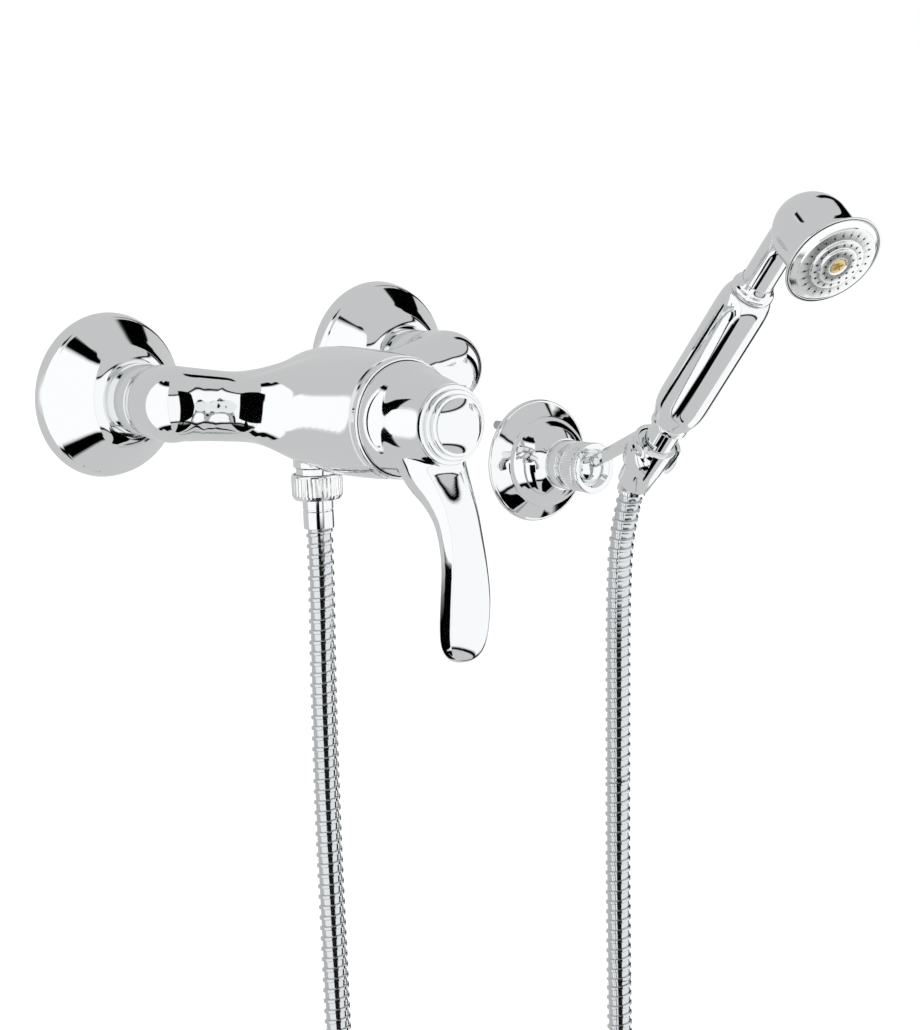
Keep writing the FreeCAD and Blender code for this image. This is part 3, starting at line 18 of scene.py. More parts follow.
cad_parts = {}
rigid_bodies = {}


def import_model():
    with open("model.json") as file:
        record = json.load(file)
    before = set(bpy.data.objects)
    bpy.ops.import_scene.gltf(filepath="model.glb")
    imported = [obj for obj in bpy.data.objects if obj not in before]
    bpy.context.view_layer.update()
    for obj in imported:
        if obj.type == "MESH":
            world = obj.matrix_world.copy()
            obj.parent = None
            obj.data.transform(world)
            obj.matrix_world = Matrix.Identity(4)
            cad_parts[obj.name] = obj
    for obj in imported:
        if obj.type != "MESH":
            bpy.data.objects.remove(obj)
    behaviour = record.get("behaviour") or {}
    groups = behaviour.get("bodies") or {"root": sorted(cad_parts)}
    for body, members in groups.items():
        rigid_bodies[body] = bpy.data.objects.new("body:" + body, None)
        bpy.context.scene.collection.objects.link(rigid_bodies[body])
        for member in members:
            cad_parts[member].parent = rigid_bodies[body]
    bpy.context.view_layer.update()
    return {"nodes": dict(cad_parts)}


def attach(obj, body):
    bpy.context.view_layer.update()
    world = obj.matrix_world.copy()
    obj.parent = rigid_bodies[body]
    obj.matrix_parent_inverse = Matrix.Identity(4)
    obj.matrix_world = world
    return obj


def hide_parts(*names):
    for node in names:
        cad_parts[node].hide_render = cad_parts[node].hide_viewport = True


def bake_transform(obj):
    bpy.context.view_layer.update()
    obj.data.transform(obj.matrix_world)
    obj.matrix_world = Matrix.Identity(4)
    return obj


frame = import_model()

logging.basicConfig(level=logging.INFO, format="%(message)s")
log = logging.getLogger("shower_mixer")

METRES = 0.001
UNION_OFFSET = 7.0
OUT = Vector((0.0, -1.0, 0.0))
UP = Vector((0.0, 0.0, 1.0))
DOWN = Vector((0.0, 0.0, -1.0))
ACROSS = Vector((1.0, 0.0, 0.0))
ORIGIN = Vector((0.0, 0.0, 0.0))
SMOOTH_ANGLE = math.radians(32.0)
# How far the hand shower leans out from the wall, the foot of its axis and the way it points
HAND_LEAN = 42.4
HAND_FOOT = Vector((170.0, -102.9, -32.8))
HAND_AXIS = Vector((0.0, -math.sin(math.radians(HAND_LEAN)), math.cos(math.radians(HAND_LEAN))))
WHITE = "FFFFFF"

Pair = tuple[float, float]
Triple = tuple[float, float, float]


class Body(Enum):
    """The bodies of the frame that visible pieces ride on."""

    WALL = "wall_unit"
    NUT = "outlet_nut"
    LEVER = "lever_unit"
    CLAMP = "clamp"
    ARM = "arm"
    HANDSET = "handset"
    CONE = "hose_cone"


def linear(hex_colour: str) -> tuple[float, float, float, float]:
    """Turn an sRGB hex colour into linear light.

    Args:
        hex_colour: six hex digits, such as "C8CACC".

    Returns:
        Red, green, blue and alpha in linear light.
    """
    channels = [int(hex_colour[i:i + 2], 16) / 255.0 for i in (0, 2, 4)]
    lit = [c / 12.92 if c <= 0.04045 else ((c + 0.055) / 1.055) ** 2.4 for c in channels]
    return lit[0], lit[1], lit[2], 1.0


def added(name: str, data: bpy.types.ID | None) -> bpy.types.Object:
    """Make an object from its data and put it in the scene.

    Args:
        name: the object's name.
        data: its mesh, curve, lamp or camera.

    Returns:
        The new object.
    """
    made = bpy.data.objects.new(name, data)
    bpy.context.scene.collection.objects.link(made)
    return made


def stored(name: str, mesh: bmesh.types.BMesh) -> bpy.types.Mesh:
    """Store a mesh as data.

    Args:
        name: the data's name.
        mesh: the mesh, which is freed.

    Returns:
        The mesh data.
    """
    data = bpy.data.meshes.new(name)
    mesh.to_mesh(data)
    mesh.free()
    return data


def soft_step(share: float) -> float:
    """Turn a share from 0 to 1 into one that starts and ends softly, and is held beyond."""
    held = min(max(share, 0.0), 1.0)
    return held * held * (3.0 - 2.0 * held)


def empty_tree(owner: bpy.types.Material | bpy.types.World) -> bpy.types.NodeTree:
    """Give the cleared node tree of a material or world.

    Args:
        owner: the material or world.

    Returns:
        Its tree, without nodes.
    """
    owner.use_nodes = True
    owner.node_tree.nodes.clear()
    return owner.node_tree


def add_node(tree: bpy.types.NodeTree, kind: str, settings: dict | None = None, inputs: dict | None = None,
             links: dict | None = None) -> bpy.types.Node:
    """Add one shader node with its settings, fixed inputs and links.

    Args:
        tree: the node tree.
        kind: the node's type name.
        settings: the node's own properties.
        inputs: fixed values by socket name or number.
        links: sockets to join to this node's inputs, by socket name or number.

    Returns:
        The new node.
    """
    node = tree.nodes.new(kind)
    for key, value in (settings or {}).items():
        setattr(node, key, value)
    for key, value in (inputs or {}).items():
        node.inputs[key].default_value = value
    for key, source in (links or {}).items():
        tree.links.new(source, node.inputs[key])
    return node


@dataclass(frozen=True)
class Finish:
    """What a surface is made of and how it was worked."""

    name: str
    colour: str
    slot: str
    metallic: float = 0.0
    roughness: float = 0.4
    roughness_spread: float = 0.03
    grain_mm: float = 3.0
    grain_depth_mm: float = 0.0
    coat: float = 0.0

    def material(self) -> bpy.types.Material:
        """Give the finish's material, made once.

        Returns:
            A material with a fine grain in its roughness and, where it has one, in its relief.
        """
        known = bpy.data.materials.get(self.name)
        if known is not None:
            return known
        made = bpy.data.materials.new(self.name)
        tree = empty_tree(made)
        place = add_node(tree, "ShaderNodeTexCoord")
        low = max(self.roughness - self.roughness_spread, 0.0)
        high = self.roughness + self.roughness_spread
        grain = add_node(tree, "ShaderNodeTexNoise", {"noise_dimensions": "3D"},
                         {"Scale": 1.0 / (self.grain_mm * METRES), "Detail": 3.0, "Roughness": 0.55},
                         {"Vector": place.outputs["Object"]})
        spread = add_node(tree, "ShaderNodeMapRange", {},
                          {"From Min": 0.3, "From Max": 0.7, "To Min": low, "To Max": high},
                          {"Value": grain.outputs["Fac"]})
        base = {"Base Color": linear(self.colour), "Metallic": self.metallic, "Coat Weight": self.coat}
        shader = add_node(tree, "ShaderNodeBsdfPrincipled", {}, base, {"Roughness": spread.outputs["Result"]})
        if self.grain_depth_mm > 0.0:
            relief = add_node(tree, "ShaderNodeBump", {}, {"Distance": self.grain_depth_mm * METRES},
                              {"Height": grain.outputs["Fac"]})
            tree.links.new(relief.outputs["Normal"], shader.inputs["Normal"])
        add_node(tree, "ShaderNodeOutputMaterial", links={"Surface": shader.outputs["BSDF"]})
        return made


# Plated brass, polished before plating: a mirror with the faint haze of the buffing wheel
CHROME = Finish("polished_chrome", "E9EBEC", "chrome", 1.0, 0.035, 0.012, 9.0, 0.0)
# The same plating over fine knurls and the pressed spray plate, a little softer
SATIN_CHROME = Finish("soft_chrome", "EFF0F0", "satin_chrome", 1.0, 0.16, 0.03, 0.8, 0.004)
# Rolled and plated strip of the hose
HOSE_CHROME = Finish("plated_strip", "D2D5D7", "chrome", 1.0, 0.11, 0.03, 1.2, 0.0)
# Turned brass with fine tool marks
BRASS = Finish("turned_brass", "D9C08A", "brass", 1.0, 0.22, 0.05, 0.5, 0.004)
# Zinc plated steel of plate, screws and pins
STEEL = Finish("zinc_plated_steel", "B4B7B9", "steel", 1.0, 0.33, 0.06, 0.7, 0.004)
# Black nitrile rubber of gaskets and seals
RUBBER = Finish("nitrile_rubber", "1B1B1C", "rubber", 0.0, 0.62, 0.08, 0.4, 0.01)
# Glass filled nylon of the cartridge
CARTRIDGE_NYLON = Finish("filled_nylon", "D6D5CE", "cartridge_plastic", 0.0, 0.46, 0.06, 0.5, 0.008)
# Lapped alumina discs
ALUMINA = Finish("lapped_alumina", "EFEBE2", "ceramic", 0.0, 0.12, 0.03, 0.3, 0.0, 0.3)
# Acetal of the non-return valve
VALVE_ACETAL = Finish("blue_acetal", "32558C", "valve_plastic", 0.0, 0.35, 0.05, 0.6, 0.004)
# Polythene of the handle's water tube
TUBE_POLYTHENE = Finish("polythene", "E2E3DF", "tube_plastic", 0.0, 0.42, 0.05, 1.5, 0.006)

FINISHED_NODES: dict[Finish, tuple[str, ...]] = {
    RUBBER: ("port_seals", "outlet_washer", "hose_washer_low", "hose_washer_high", "rose_gasket",
             "filter_gasket_left", "filter_gasket_right"),
    CARTRIDGE_NYLON: ("cartridge_base", "cartridge_housing", "disc_driver", "spindle_carrier"),
    ALUMINA: ("fixed_disc", "moving_disc"),
    STEEL: ("hinge_pin", "lever_screw", "holder_plate", "holder_screws", "holder_stud"),
    BRASS: ("cartridge_retainer", "stem", "eccentric_union_left", "eccentric_union_right",
            "inlet_nipple_left", "inlet_nipple_right"),
    CHROME: ("hose_ferrule_high",),
    VALVE_ACETAL: ("check_valve",),
    TUBE_POLYTHENE: ("inner_tube",),
}


def through(points: list[tuple[float, ...]], steps: int) -> list[tuple[float, ...]]:
    """Run a smooth line through given rows of numbers.

    Args:
        points: rows of equal length.
        steps: how many pieces each span is cut into.

    Returns:
        The rows along the line, the given ones among them.
    """
    rows = [points[0]] + list(points) + [points[-1]]
    line = []
    for a, b, c, d in zip(rows, rows[1:], rows[2:], rows[3:]):
        for step in range(steps):
            t = step / steps
            line.append(tuple(
                0.5 * (2 * q + (r - p) * t + (2 * p - 5 * q + 4 * r - s) * t * t
                       + (3 * q - p - 3 * r + s) * t ** 3)
                for p, q, r, s in zip(a, b, c, d)))
    line.append(tuple(points[-1]))
    return line


@dataclass
class Outline:
    """Half section of a turned piece, as radius and height in millimetres."""

    points: list[Pair] = field(default_factory=list)

    def line(self, *corners: tuple[float, ...]) -> "Outline":
        """Add straight runs. A corner's third number is the radius that rounds it.

        Args:
            corners: radius, height and, where the corner is rounded, its rounding.

        Returns:
            The outline itself.
        """
        for index, corner in enumerate(corners):
            rounding = corner[2] if len(corner) > 2 else 0.0
            here = Vector(corner[:2])
            if rounding == 0.0 or not self.points or index + 1 == len(corners):
                self.points.append((here.x, here.y))
                continue
            before = (Vector(self.points[-1]) - here).normalized()
            after = (Vector(corners[index + 1][:2]) - here).normalized()
            half = before.angle(after) / 2
            trim = rounding / math.tan(half)
            start = here + before * trim
            end = here + after * trim
            for step in range(5):
                t = step / 4
                point = start.lerp(here, t).lerp(here.lerp(end, t), t)
                self.points.append((point.x, point.y))
        return self

    def curve(self, *points: Pair, steps: int = 8) -> "Outline":
        """Add a smooth line from the last point through the given ones.

        Args:
            points: radius and height of each point.
            steps: pieces between two points.

        Returns:
            The outline itself.
        """
        self.points += through([self.points[-1]] + list(points), steps)[1:]
        return self

    def arc(self, centre: Pair, radius: float, first: float, last: float, steps: int = 24) -> "Outline":
        """Add a round arc.

        Args:
            centre: radius and height of the arc's centre.
            radius: the arc's radius.
            first: starting angle in degrees from the outward direction, towards greater heights.
            last: ending angle.
            steps: pieces of the arc.

        Returns:
            The outline itself.
        """
        for step in range(steps + 1):
            angle = math.radians(first + (last - first) * step / steps)
            self.points.append((centre[0] + radius * math.cos(angle), centre[1] + radius * math.sin(angle)))
        return self


def laid(base: Vector, direction: Vector) -> Matrix:
    """Matrix that lays a mesh's own upward axis along a direction from a base point."""
    return Matrix.Translation(base) @ UP.rotation_difference(direction).to_matrix().to_4x4()


def turned(outline: Outline, base: Vector, direction: Vector, steps: int = 96,
           closed: bool = True) -> bmesh.types.BMesh:
    """Turn an outline into a body of revolution.

    Args:
        outline: half section.
        base: where its height is zero.
        direction: the way its height grows.
        steps: facets round the body.
        closed: whether the outline's ends are joined where they are off the axis.

    Returns:
        The mesh in millimetres.
    """
    mesh = bmesh.new()
    ring = [mesh.verts.new((max(radius, 0.0), 0.0, height)) for radius, height in outline.points]
    edges = [mesh.edges.new(pair) for pair in zip(ring, ring[1:])]
    if closed and (outline.points[0][0] > 0.0 or outline.points[-1][0] > 0.0):
        edges.append(mesh.edges.new((ring[-1], ring[0])))
    bmesh.ops.spin(mesh, geom=ring + edges, cent=ORIGIN, axis=UP, dvec=ORIGIN, angle=math.tau, steps=steps,
                   use_merge=True)
    bmesh.ops.remove_doubles(mesh, verts=mesh.verts, dist=0.0005)
    bmesh.ops.recalc_face_normals(mesh, faces=mesh.faces)
    bmesh.ops.transform(mesh, matrix=laid(base, direction), verts=mesh.verts)
    return mesh


def rim_edges(loop: list[bmesh.types.BMVert]) -> list[bmesh.types.BMEdge]:
    """Give the edges of a loop that still have room for another face.

    Args:
        loop: the loop's vertices.

    Returns:
        Its edges with fewer than two faces, in a fixed order.
    """
    inside = set(loop)
    touching = dict.fromkeys(edge for vertex in loop for edge in vertex.link_edges)
    return [e for e in touching if e.verts[0] in inside and e.verts[1] in inside and len(e.link_faces) < 2]


def lofted(rows: list[tuple[float, ...]], wide: Vector, steps: int, segments: int = 64) -> bmesh.types.BMesh:
    """Skin a smooth closed bar over elliptic sections.

    Args:
        rows: x, y, z, half width and half depth of each section.
        wide: direction of the half width.
        steps: sections added between two rows.
        segments: facets round the bar.

    Returns:
        The mesh in millimetres.
    """
    mesh = bmesh.new()
    line = through(rows, steps)
    loops = []
    for index, row in enumerate(line):
        before = Vector(line[max(index - 1, 0)][:3])
        after = Vector(line[min(index + 1, len(line) - 1)][:3])
        along = (after - before).normalized()
        side = (wide - along * wide.dot(along)).normalized()
        axes = Matrix((side * row[3], along.cross(side) * row[4], along)).transposed().to_4x4()
        axes.translation = Vector(row[:3])
        made = bmesh.ops.create_circle(mesh, segments=segments, radius=1.0, matrix=axes,
                                       cap_ends=index in (0, len(line) - 1))
        loops.append(made["verts"])
    for low, high in zip(loops, loops[1:]):
        bmesh.ops.bridge_loops(mesh, edges=rim_edges(low) + rim_edges(high))
    bmesh.ops.recalc_face_normals(mesh, faces=mesh.faces)
    return mesh


def ball(centre: Vector, radius: float) -> bmesh.types.BMesh:
    """Make a ball in millimetres.

    Args:
        centre: its middle.
        radius: its radius.

    Returns:
        The ball's mesh.
    """
    mesh = bmesh.new()
    place = Matrix.Translation(centre)
    bmesh.ops.create_uvsphere(mesh, u_segments=96, v_segments=64, radius=radius, matrix=place)
    return mesh


def block(place: Matrix, centre: Triple, size: Triple) -> bmesh.types.BMesh:
    """Make a block in millimetres.

    Args:
        place: the matrix of the place that it stands in.
        centre: its middle there.
        size: its whole width, depth and height.

    Returns:
        The block's mesh.
    """
    mesh = bmesh.new()
    sized = place @ Matrix.Translation(centre) @ Matrix.Diagonal((*size, 1.0))
    bmesh.ops.create_cube(mesh, size=1.0, matrix=sized)
    return mesh


def joined(meshes: list[bmesh.types.BMesh]) -> bmesh.types.BMesh:
    """Put several meshes into one.

    Args:
        meshes: the meshes, which are freed.

    Returns:
        One mesh that holds them all, unmelted.
    """
    whole = bmesh.new()
    for mesh in meshes:
        carrier = stored("carrier", mesh)
        whole.from_mesh(carrier)
        bpy.data.meshes.remove(carrier)
    return whole


def worked(mesh: bmesh.types.BMesh, kind: str, values: dict) -> bmesh.types.BMesh:
    """Run a modifier on a mesh and keep its result.

    Args:
        mesh: the mesh, which is freed.
        kind: the modifier's kind.
        values: its properties.

    Returns:
        The worked mesh.
    """
    carrier = stored("carrier", mesh)
    holder = added("carrier", carrier)
    modifier = holder.modifiers.new(kind, kind)
    for key, value in values.items():
        setattr(modifier, key, value)
    bpy.context.view_layer.update()
    result = holder.evaluated_get(bpy.context.evaluated_depsgraph_get())
    kept = bmesh.new()
    kept.from_mesh(result.to_mesh())
    result.to_mesh_clear()
    bpy.data.objects.remove(holder)
    bpy.data.meshes.remove(carrier)
    return kept


def melted(meshes: list[bmesh.types.BMesh], voxel: float, rounds: int) -> bmesh.types.BMesh:
    """Melt overlapping closed bodies into one casting with a soft skin.

    Args:
        meshes: the bodies.
        voxel: grid size in millimetres.
        rounds: how often the skin is eased.

    Returns:
        The casting's mesh in millimetres.
    """
    cast = worked(joined(meshes), "REMESH", {"mode": "VOXEL", "voxel_size": voxel, "adaptivity": 0.0})
    eased(cast, ORIGIN, math.inf, rounds)
    return cast


def eased(mesh: bmesh.types.BMesh, centre: Vector, reach: float, rounds: int) -> None:
    """Ease the skin of a casting around one place, so that two forms flow together.

    Args:
        mesh: the casting.
        centre: middle of the place.
        reach: radius of the place.
        rounds: how often it is eased.
    """
    near = [v for v in mesh.verts if (v.co - centre).length < reach]
    for _ in range(rounds):
        bmesh.ops.smooth_vert(mesh, verts=near, factor=0.5, use_axis_x=True, use_axis_y=True, use_axis_z=True)


def planed(mesh: bmesh.types.BMesh, point: Vector, direction: Vector, kept: bool = False) -> None:
    """Cut a mesh along a plane, and leave the cut open.

    Args:
        mesh: the mesh.
        point: a point of the plane.
        direction: the side that is cut away.
        kept: whether that side stays, and only the cut is made.
    """
    everything = mesh.verts[:] + mesh.edges[:] + mesh.faces[:]
    bmesh.ops.bisect_plane(mesh, geom=everything, dist=0.0001, plane_co=point, plane_no=direction,
                           clear_outer=not kept)


def carved(mesh: bmesh.types.BMesh, cutter: bmesh.types.BMesh) -> bmesh.types.BMesh:
    """Cut a closed mesh with another.

    Args:
        mesh: the mesh that is cut, which is freed.
        cutter: the cutting mesh, which is freed.

    Returns:
        The result.
    """
    tool_mesh = stored("cutter", cutter)
    tool = added("cutter", tool_mesh)
    result = worked(mesh, "BOOLEAN", {"operation": "DIFFERENCE", "object": tool, "solver": "EXACT"})
    bpy.data.objects.remove(tool)
    bpy.data.meshes.remove(tool_mesh)
    return result


def fluted(mesh: bmesh.types.BMesh, base: Vector, direction: Vector, low: float, high: float, least: float,
           depth: float, ridges: int) -> None:
    """Press straight knurls into the outside of a turned mesh that has eight facets for each ridge.

    Args:
        mesh: the turned mesh.
        base: its base point.
        direction: its axis.
        low: where the knurls start along the axis.
        high: where they end.
        least: only vertices further from the axis than this are moved.
        depth: depth of the knurls.
        ridges: how many there are.
    """
    back = laid(base, direction).inverted()
    for vertex in mesh.verts:
        local = back @ vertex.co
        radius = math.hypot(local.x, local.y)
        if radius < least or not low < local.z < high:
            continue
        wave = math.cos(math.atan2(local.y, local.x) * ridges)
        drop = depth * (0.5 - 0.5 * max(-1.0, min(1.0, wave * 1.6)))
        local.x *= 1.0 - drop / radius
        local.y *= 1.0 - drop / radius
        vertex.co = back.inverted() @ local


def piece(name: str, mesh: bmesh.types.BMesh, finish: Finish, body: Body | None, *nodes: str,
          sharp: float = SMOOTH_ANGLE) -> bpy.types.Object:
    """Turn a mesh in millimetres into a finished piece of the object.

    Args:
        name: the piece's name.
        mesh: its mesh, which is freed.
        finish: its surface.
        body: the body that it rides on, or None where it is left unattached.
        nodes: the CAD nodes that it stands for.
        sharp: edges that bend more than this stay sharp.

    Returns:
        The new object.
    """
    raise_up = Matrix.Scale(METRES, 4) @ Matrix.Translation((0.0, 0.0, UNION_OFFSET))
    bmesh.ops.transform(mesh, matrix=raise_up, verts=mesh.verts)
    for face in mesh.faces:
        face.smooth = True
    data = stored(name, mesh)
    data.set_sharp_from_angle(angle=sharp)
    data.materials.append(finish.material())
    made = added(name, data)
    if body is not None:
        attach(made, body.value)
    if nodes:
        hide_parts(*nodes)
    log.info("%s: %d faces", name, len(data.polygons))
    return made


@dataclass
class Studio:
    """Camera, pale floor, soft lamps and the light tent that the chrome mirrors."""

    camera_place: Triple = (-895.24, -1337.35, 194.19)
    azimuth: float = -37.248
    elevation: float = 9.312
    roll: float = -2.5
    focal_pixels: float = 3500.0
    frame_pixels: tuple[int, int] = (920, 1030)
    sensor: float = 36.0
    floor_drop: float = 1500.0
    even_light: float = 0.62
    cloth: float = 0.66
    panel: float = 1.14
    left_centre: Triple = (-75.0, -60.0, 0.0)
    tent_centre: Triple = (0.0, -100.0, -20.0)

    def camera(self) -> None:
        """Set up the camera that took the photograph."""
        data = bpy.data.cameras.new("photo_camera")
        data.sensor_width = self.sensor
        data.sensor_fit = "AUTO"
        data.lens = self.focal_pixels * self.sensor / max(self.frame_pixels)
        data.clip_end = 50.0
        turn = math.radians(self.azimuth)
        lift = math.radians(self.elevation)
        back = Vector((math.sin(turn) * math.cos(lift), -math.cos(turn) * math.cos(lift), math.sin(lift)))
        right = Vector((math.cos(turn), math.sin(turn), 0.0))
        top = back.cross(right)
        lean = math.radians(self.roll)
        across = right * math.cos(lean) + top * math.sin(lean)
        upward = top * math.cos(lean) - right * math.sin(lean)
        axes = Matrix((across, upward, back)).transposed().to_4x4()
        axes.translation = (Vector(self.camera_place) + UP * UNION_OFFSET) * METRES
        made = added("photo_camera", data)
        made.matrix_world = axes
        bpy.context.scene.camera = made

    def glow(self, name: str, strength: float) -> bpy.types.Material:
        """Give a card's even glow, which fades out where the card's attribute "cover" does.

        Args:
            name: the material's name.
            strength: its brightness, where 1 is white.

        Returns:
            The material.
        """
        made = bpy.data.materials.new(name)
        tree = empty_tree(made)
        cover = add_node(tree, "ShaderNodeAttribute", {"attribute_name": "cover"})
        light = add_node(tree, "ShaderNodeEmission", {}, {"Color": linear(WHITE), "Strength": strength})
        clear = add_node(tree, "ShaderNodeBsdfTransparent")
        sources = {0: cover.outputs["Fac"], 1: clear.outputs[0], 2: light.outputs[0]}
        mix = add_node(tree, "ShaderNodeMixShader", links=sources)
        add_node(tree, "ShaderNodeOutputMaterial", links={"Surface": mix.outputs[0]})
        return made

    def hang(self, name: str, mesh: bmesh.types.BMesh, strength: float, softness: float) -> None:
        """Hang a card of the light tent, which only the gloss of the metal sees.

        Args:
            name: the card's name.
            mesh: its mesh, in metres, made from a grid whose own places are still in its layer "grid".
            strength: its brightness, where 1 is white.
            softness: share of its half width over which its edges fade.
        """
        grid = mesh.verts.layers.float_vector["grid"]
        cover = []
        for vertex in mesh.verts:
            inset = 1.0 - max(abs(vertex[grid].x), abs(vertex[grid].y))
            cover.append(1.0 if softness == 0.0 else soft_step(inset / softness))
        data = stored(name, mesh)
        layer = data.attributes.new("cover", "FLOAT", "POINT")
        layer.data.foreach_set("value", cover)
        for polygon in data.polygons:
            polygon.use_smooth = True
        data.materials.append(self.glow(name, strength))
        made = added(name, data)
        made.visible_camera = False
        made.visible_diffuse = False
        made.visible_shadow = False

    def grid(self) -> bmesh.types.BMesh:
        """Give a square grid that remembers its flat places.

        Returns:
            The grid, two units wide, with each vertex's first place in its layer "grid".
        """
        mesh = bmesh.new()
        bmesh.ops.create_grid(mesh, x_segments=60, y_segments=40, size=1.0)
        layer = mesh.verts.layers.float_vector.new("grid")
        for vertex in mesh.verts:
            vertex[layer] = vertex.co.copy()
        return mesh

    def card(self, name: str, turn: Pair, lift: Pair, distance: float, strength: float, softness: float = 0.0,
             centre: Triple | None = None) -> None:
        """Hang one curved card round a point.

        Args:
            name: the card's name.
            turn: its edges in degrees from straight out of the wall, towards the right.
            lift: its lower and upper edge in degrees.
            distance: how far it hangs from the point, in metres.
            strength: its brightness, where 1 is white.
            softness: share of its half width over which its edges fade.
            centre: the point in millimetres, or None for the middle of the tent.
        """
        mesh = self.grid()
        middle = Vector(centre or self.tent_centre) * METRES
        for vertex in mesh.verts:
            across = math.radians(turn[0] + (turn[1] - turn[0]) * (vertex.co.x + 1) / 2)
            rise = math.radians(lift[0] + (lift[1] - lift[0]) * (vertex.co.y + 1) / 2)
            level = math.cos(rise)
            way = Vector((math.sin(across) * level, -math.cos(across) * level, math.sin(rise)))
            vertex.co = middle + way * distance
        self.hang(name, mesh, strength, softness)

    def board(self, name: str, centre: Triple, across: Triple, rise: Triple, strength: float,
              softness: float = 0.0) -> None:
        """Stand one flat card in the tent.

        Args:
            name: the card's name.
            centre: its middle in millimetres.
            across: from its middle to its side edge, in millimetres.
            rise: from its middle to its upper edge, in millimetres.
            strength: its brightness, where 1 is white.
            softness: share of its half width over which its edges fade.
        """
        mesh = self.grid()
        for vertex in mesh.verts:
            vertex.co = (Vector(centre) + Vector(across) * vertex.co.x + Vector(rise) * vertex.co.y) * METRES
        self.hang(name, mesh, strength, softness)

    def shown(self, tree: bpy.types.NodeTree, others: bpy.types.NodeSocket,
              seen: bpy.types.NodeSocket) -> bpy.types.NodeSocket:
        """Give one shader to the camera, the gloss and clear pieces, and another to all other rays.

        Args:
            tree: the node tree.
            others: what all other rays meet.
            seen: what the camera, the gloss and clear pieces meet.

        Returns:
            The mixed shader.
        """
        ray = add_node(tree, "ShaderNodeLightPath")
        first = add_node(tree, "ShaderNodeMath", {"operation": "MAXIMUM"}, {},
                         {0: ray.outputs["Is Camera Ray"], 1: ray.outputs["Is Glossy Ray"]})
        both = add_node(tree, "ShaderNodeMath", {"operation": "MAXIMUM"}, {},
                        {0: first.outputs[0], 1: ray.outputs["Is Transmission Ray"]})
        mix = add_node(tree, "ShaderNodeMixShader", links={0: both.outputs[0], 1: others, 2: seen})
        return mix.outputs[0]

    def floor(self) -> None:
        """Lay the pale floor, which shows white where the lamps reach it and keeps the object's shadow."""
        mesh = bmesh.new()
        bmesh.ops.create_grid(mesh, x_segments=1, y_segments=1, size=30.0)
        made = bpy.data.materials.new("pale_floor")
        tree = empty_tree(made)
        matt = add_node(tree, "ShaderNodeBsdfDiffuse", {}, {"Color": linear("E6E6E4")})
        lift = add_node(tree, "ShaderNodeEmission", {}, {"Color": linear(WHITE), "Strength": self.even_light})
        lifted = add_node(tree, "ShaderNodeAddShader", links={0: matt.outputs[0], 1: lift.outputs[0]})
        surface = self.shown(tree, matt.outputs[0], lifted.outputs[0])
        add_node(tree, "ShaderNodeOutputMaterial", links={"Surface": surface})
        data = stored("floor", mesh)
        data.materials.append(made)
        laid_floor = added("floor", data)
        laid_floor.location = (0.0, 0.0, (UNION_OFFSET - self.floor_drop) * METRES)

    def world(self) -> None:
        """Light everything evenly, and show plain white to the camera and to the metal."""
        world = bpy.data.worlds.new("studio")
        bpy.context.scene.world = world
        tree = empty_tree(world)
        even = add_node(tree, "ShaderNodeBackground", {}, {"Color": linear(WHITE), "Strength": self.even_light})
        white = add_node(tree, "ShaderNodeBackground", {}, {"Color": linear(WHITE), "Strength": 1.0})
        surface = self.shown(tree, even.outputs[0], white.outputs[0])
        add_node(tree, "ShaderNodeOutputWorld", links={"Surface": surface})

    def lamp(self, name: str, place: Triple, size: float, power: float) -> None:
        """Hang one soft lamp that points at the object.

        Args:
            name: the lamp's name.
            place: where it hangs, in metres.
            size: its side in metres.
            power: its power in watts.
        """
        data = bpy.data.lights.new(name, "AREA")
        data.shape = "SQUARE"
        data.size = size
        data.energy = power
        made = added(name, data)
        target = Vector(self.tent_centre) * METRES
        made.location = place
        made.rotation_euler = (target - Vector(place)).to_track_quat("-Z", "Y").to_euler()
        made.visible_glossy = False

    def build(self) -> None:
        """Set up the whole studio."""
        bpy.context.scene.view_settings.view_transform = "Standard"
        self.camera()
        self.floor()
        self.world()
        # Grey cloth all round the object and below it
        self.card("tent_cloth", (-180.0, 180.0), (-90.0, 90.0), 4.0, self.cloth)
        self.board("tent_floor", (0.0, 0.0, -1450.0), (4500.0, 0.0, 0.0), (0.0, 4500.0, 0.0), self.cloth)
        # The white front panel in its black frame, with a black flag on its right
        self.card("front_frame", (-62.0, 101.0), (-51.0, 37.0), 1.8, 0.0, 0.02)
        self.card("front_panel", (-60.0, 95.0), (-46.0, 33.0), 1.7, self.panel, 0.08)
        self.card("side_flag", (101.0, 116.0), (-40.0, 58.0), 1.6, 0.0, 0.12)
        # The white left panel with its black frame and arms
        self.card("left_frame", (-121.0, -46.0), (-66.0, 70.0), 1.05, 0.0, 0.02, self.left_centre)
        self.card("left_arms", (-96.0, -50.0), (-76.0, 78.0), 1.06, 0.0, 0.05, self.left_centre)
        self.card("left_panel", (-122.0, -45.0), (-58.0, 62.0), 1.0, 1.18, 0.08, self.left_centre)
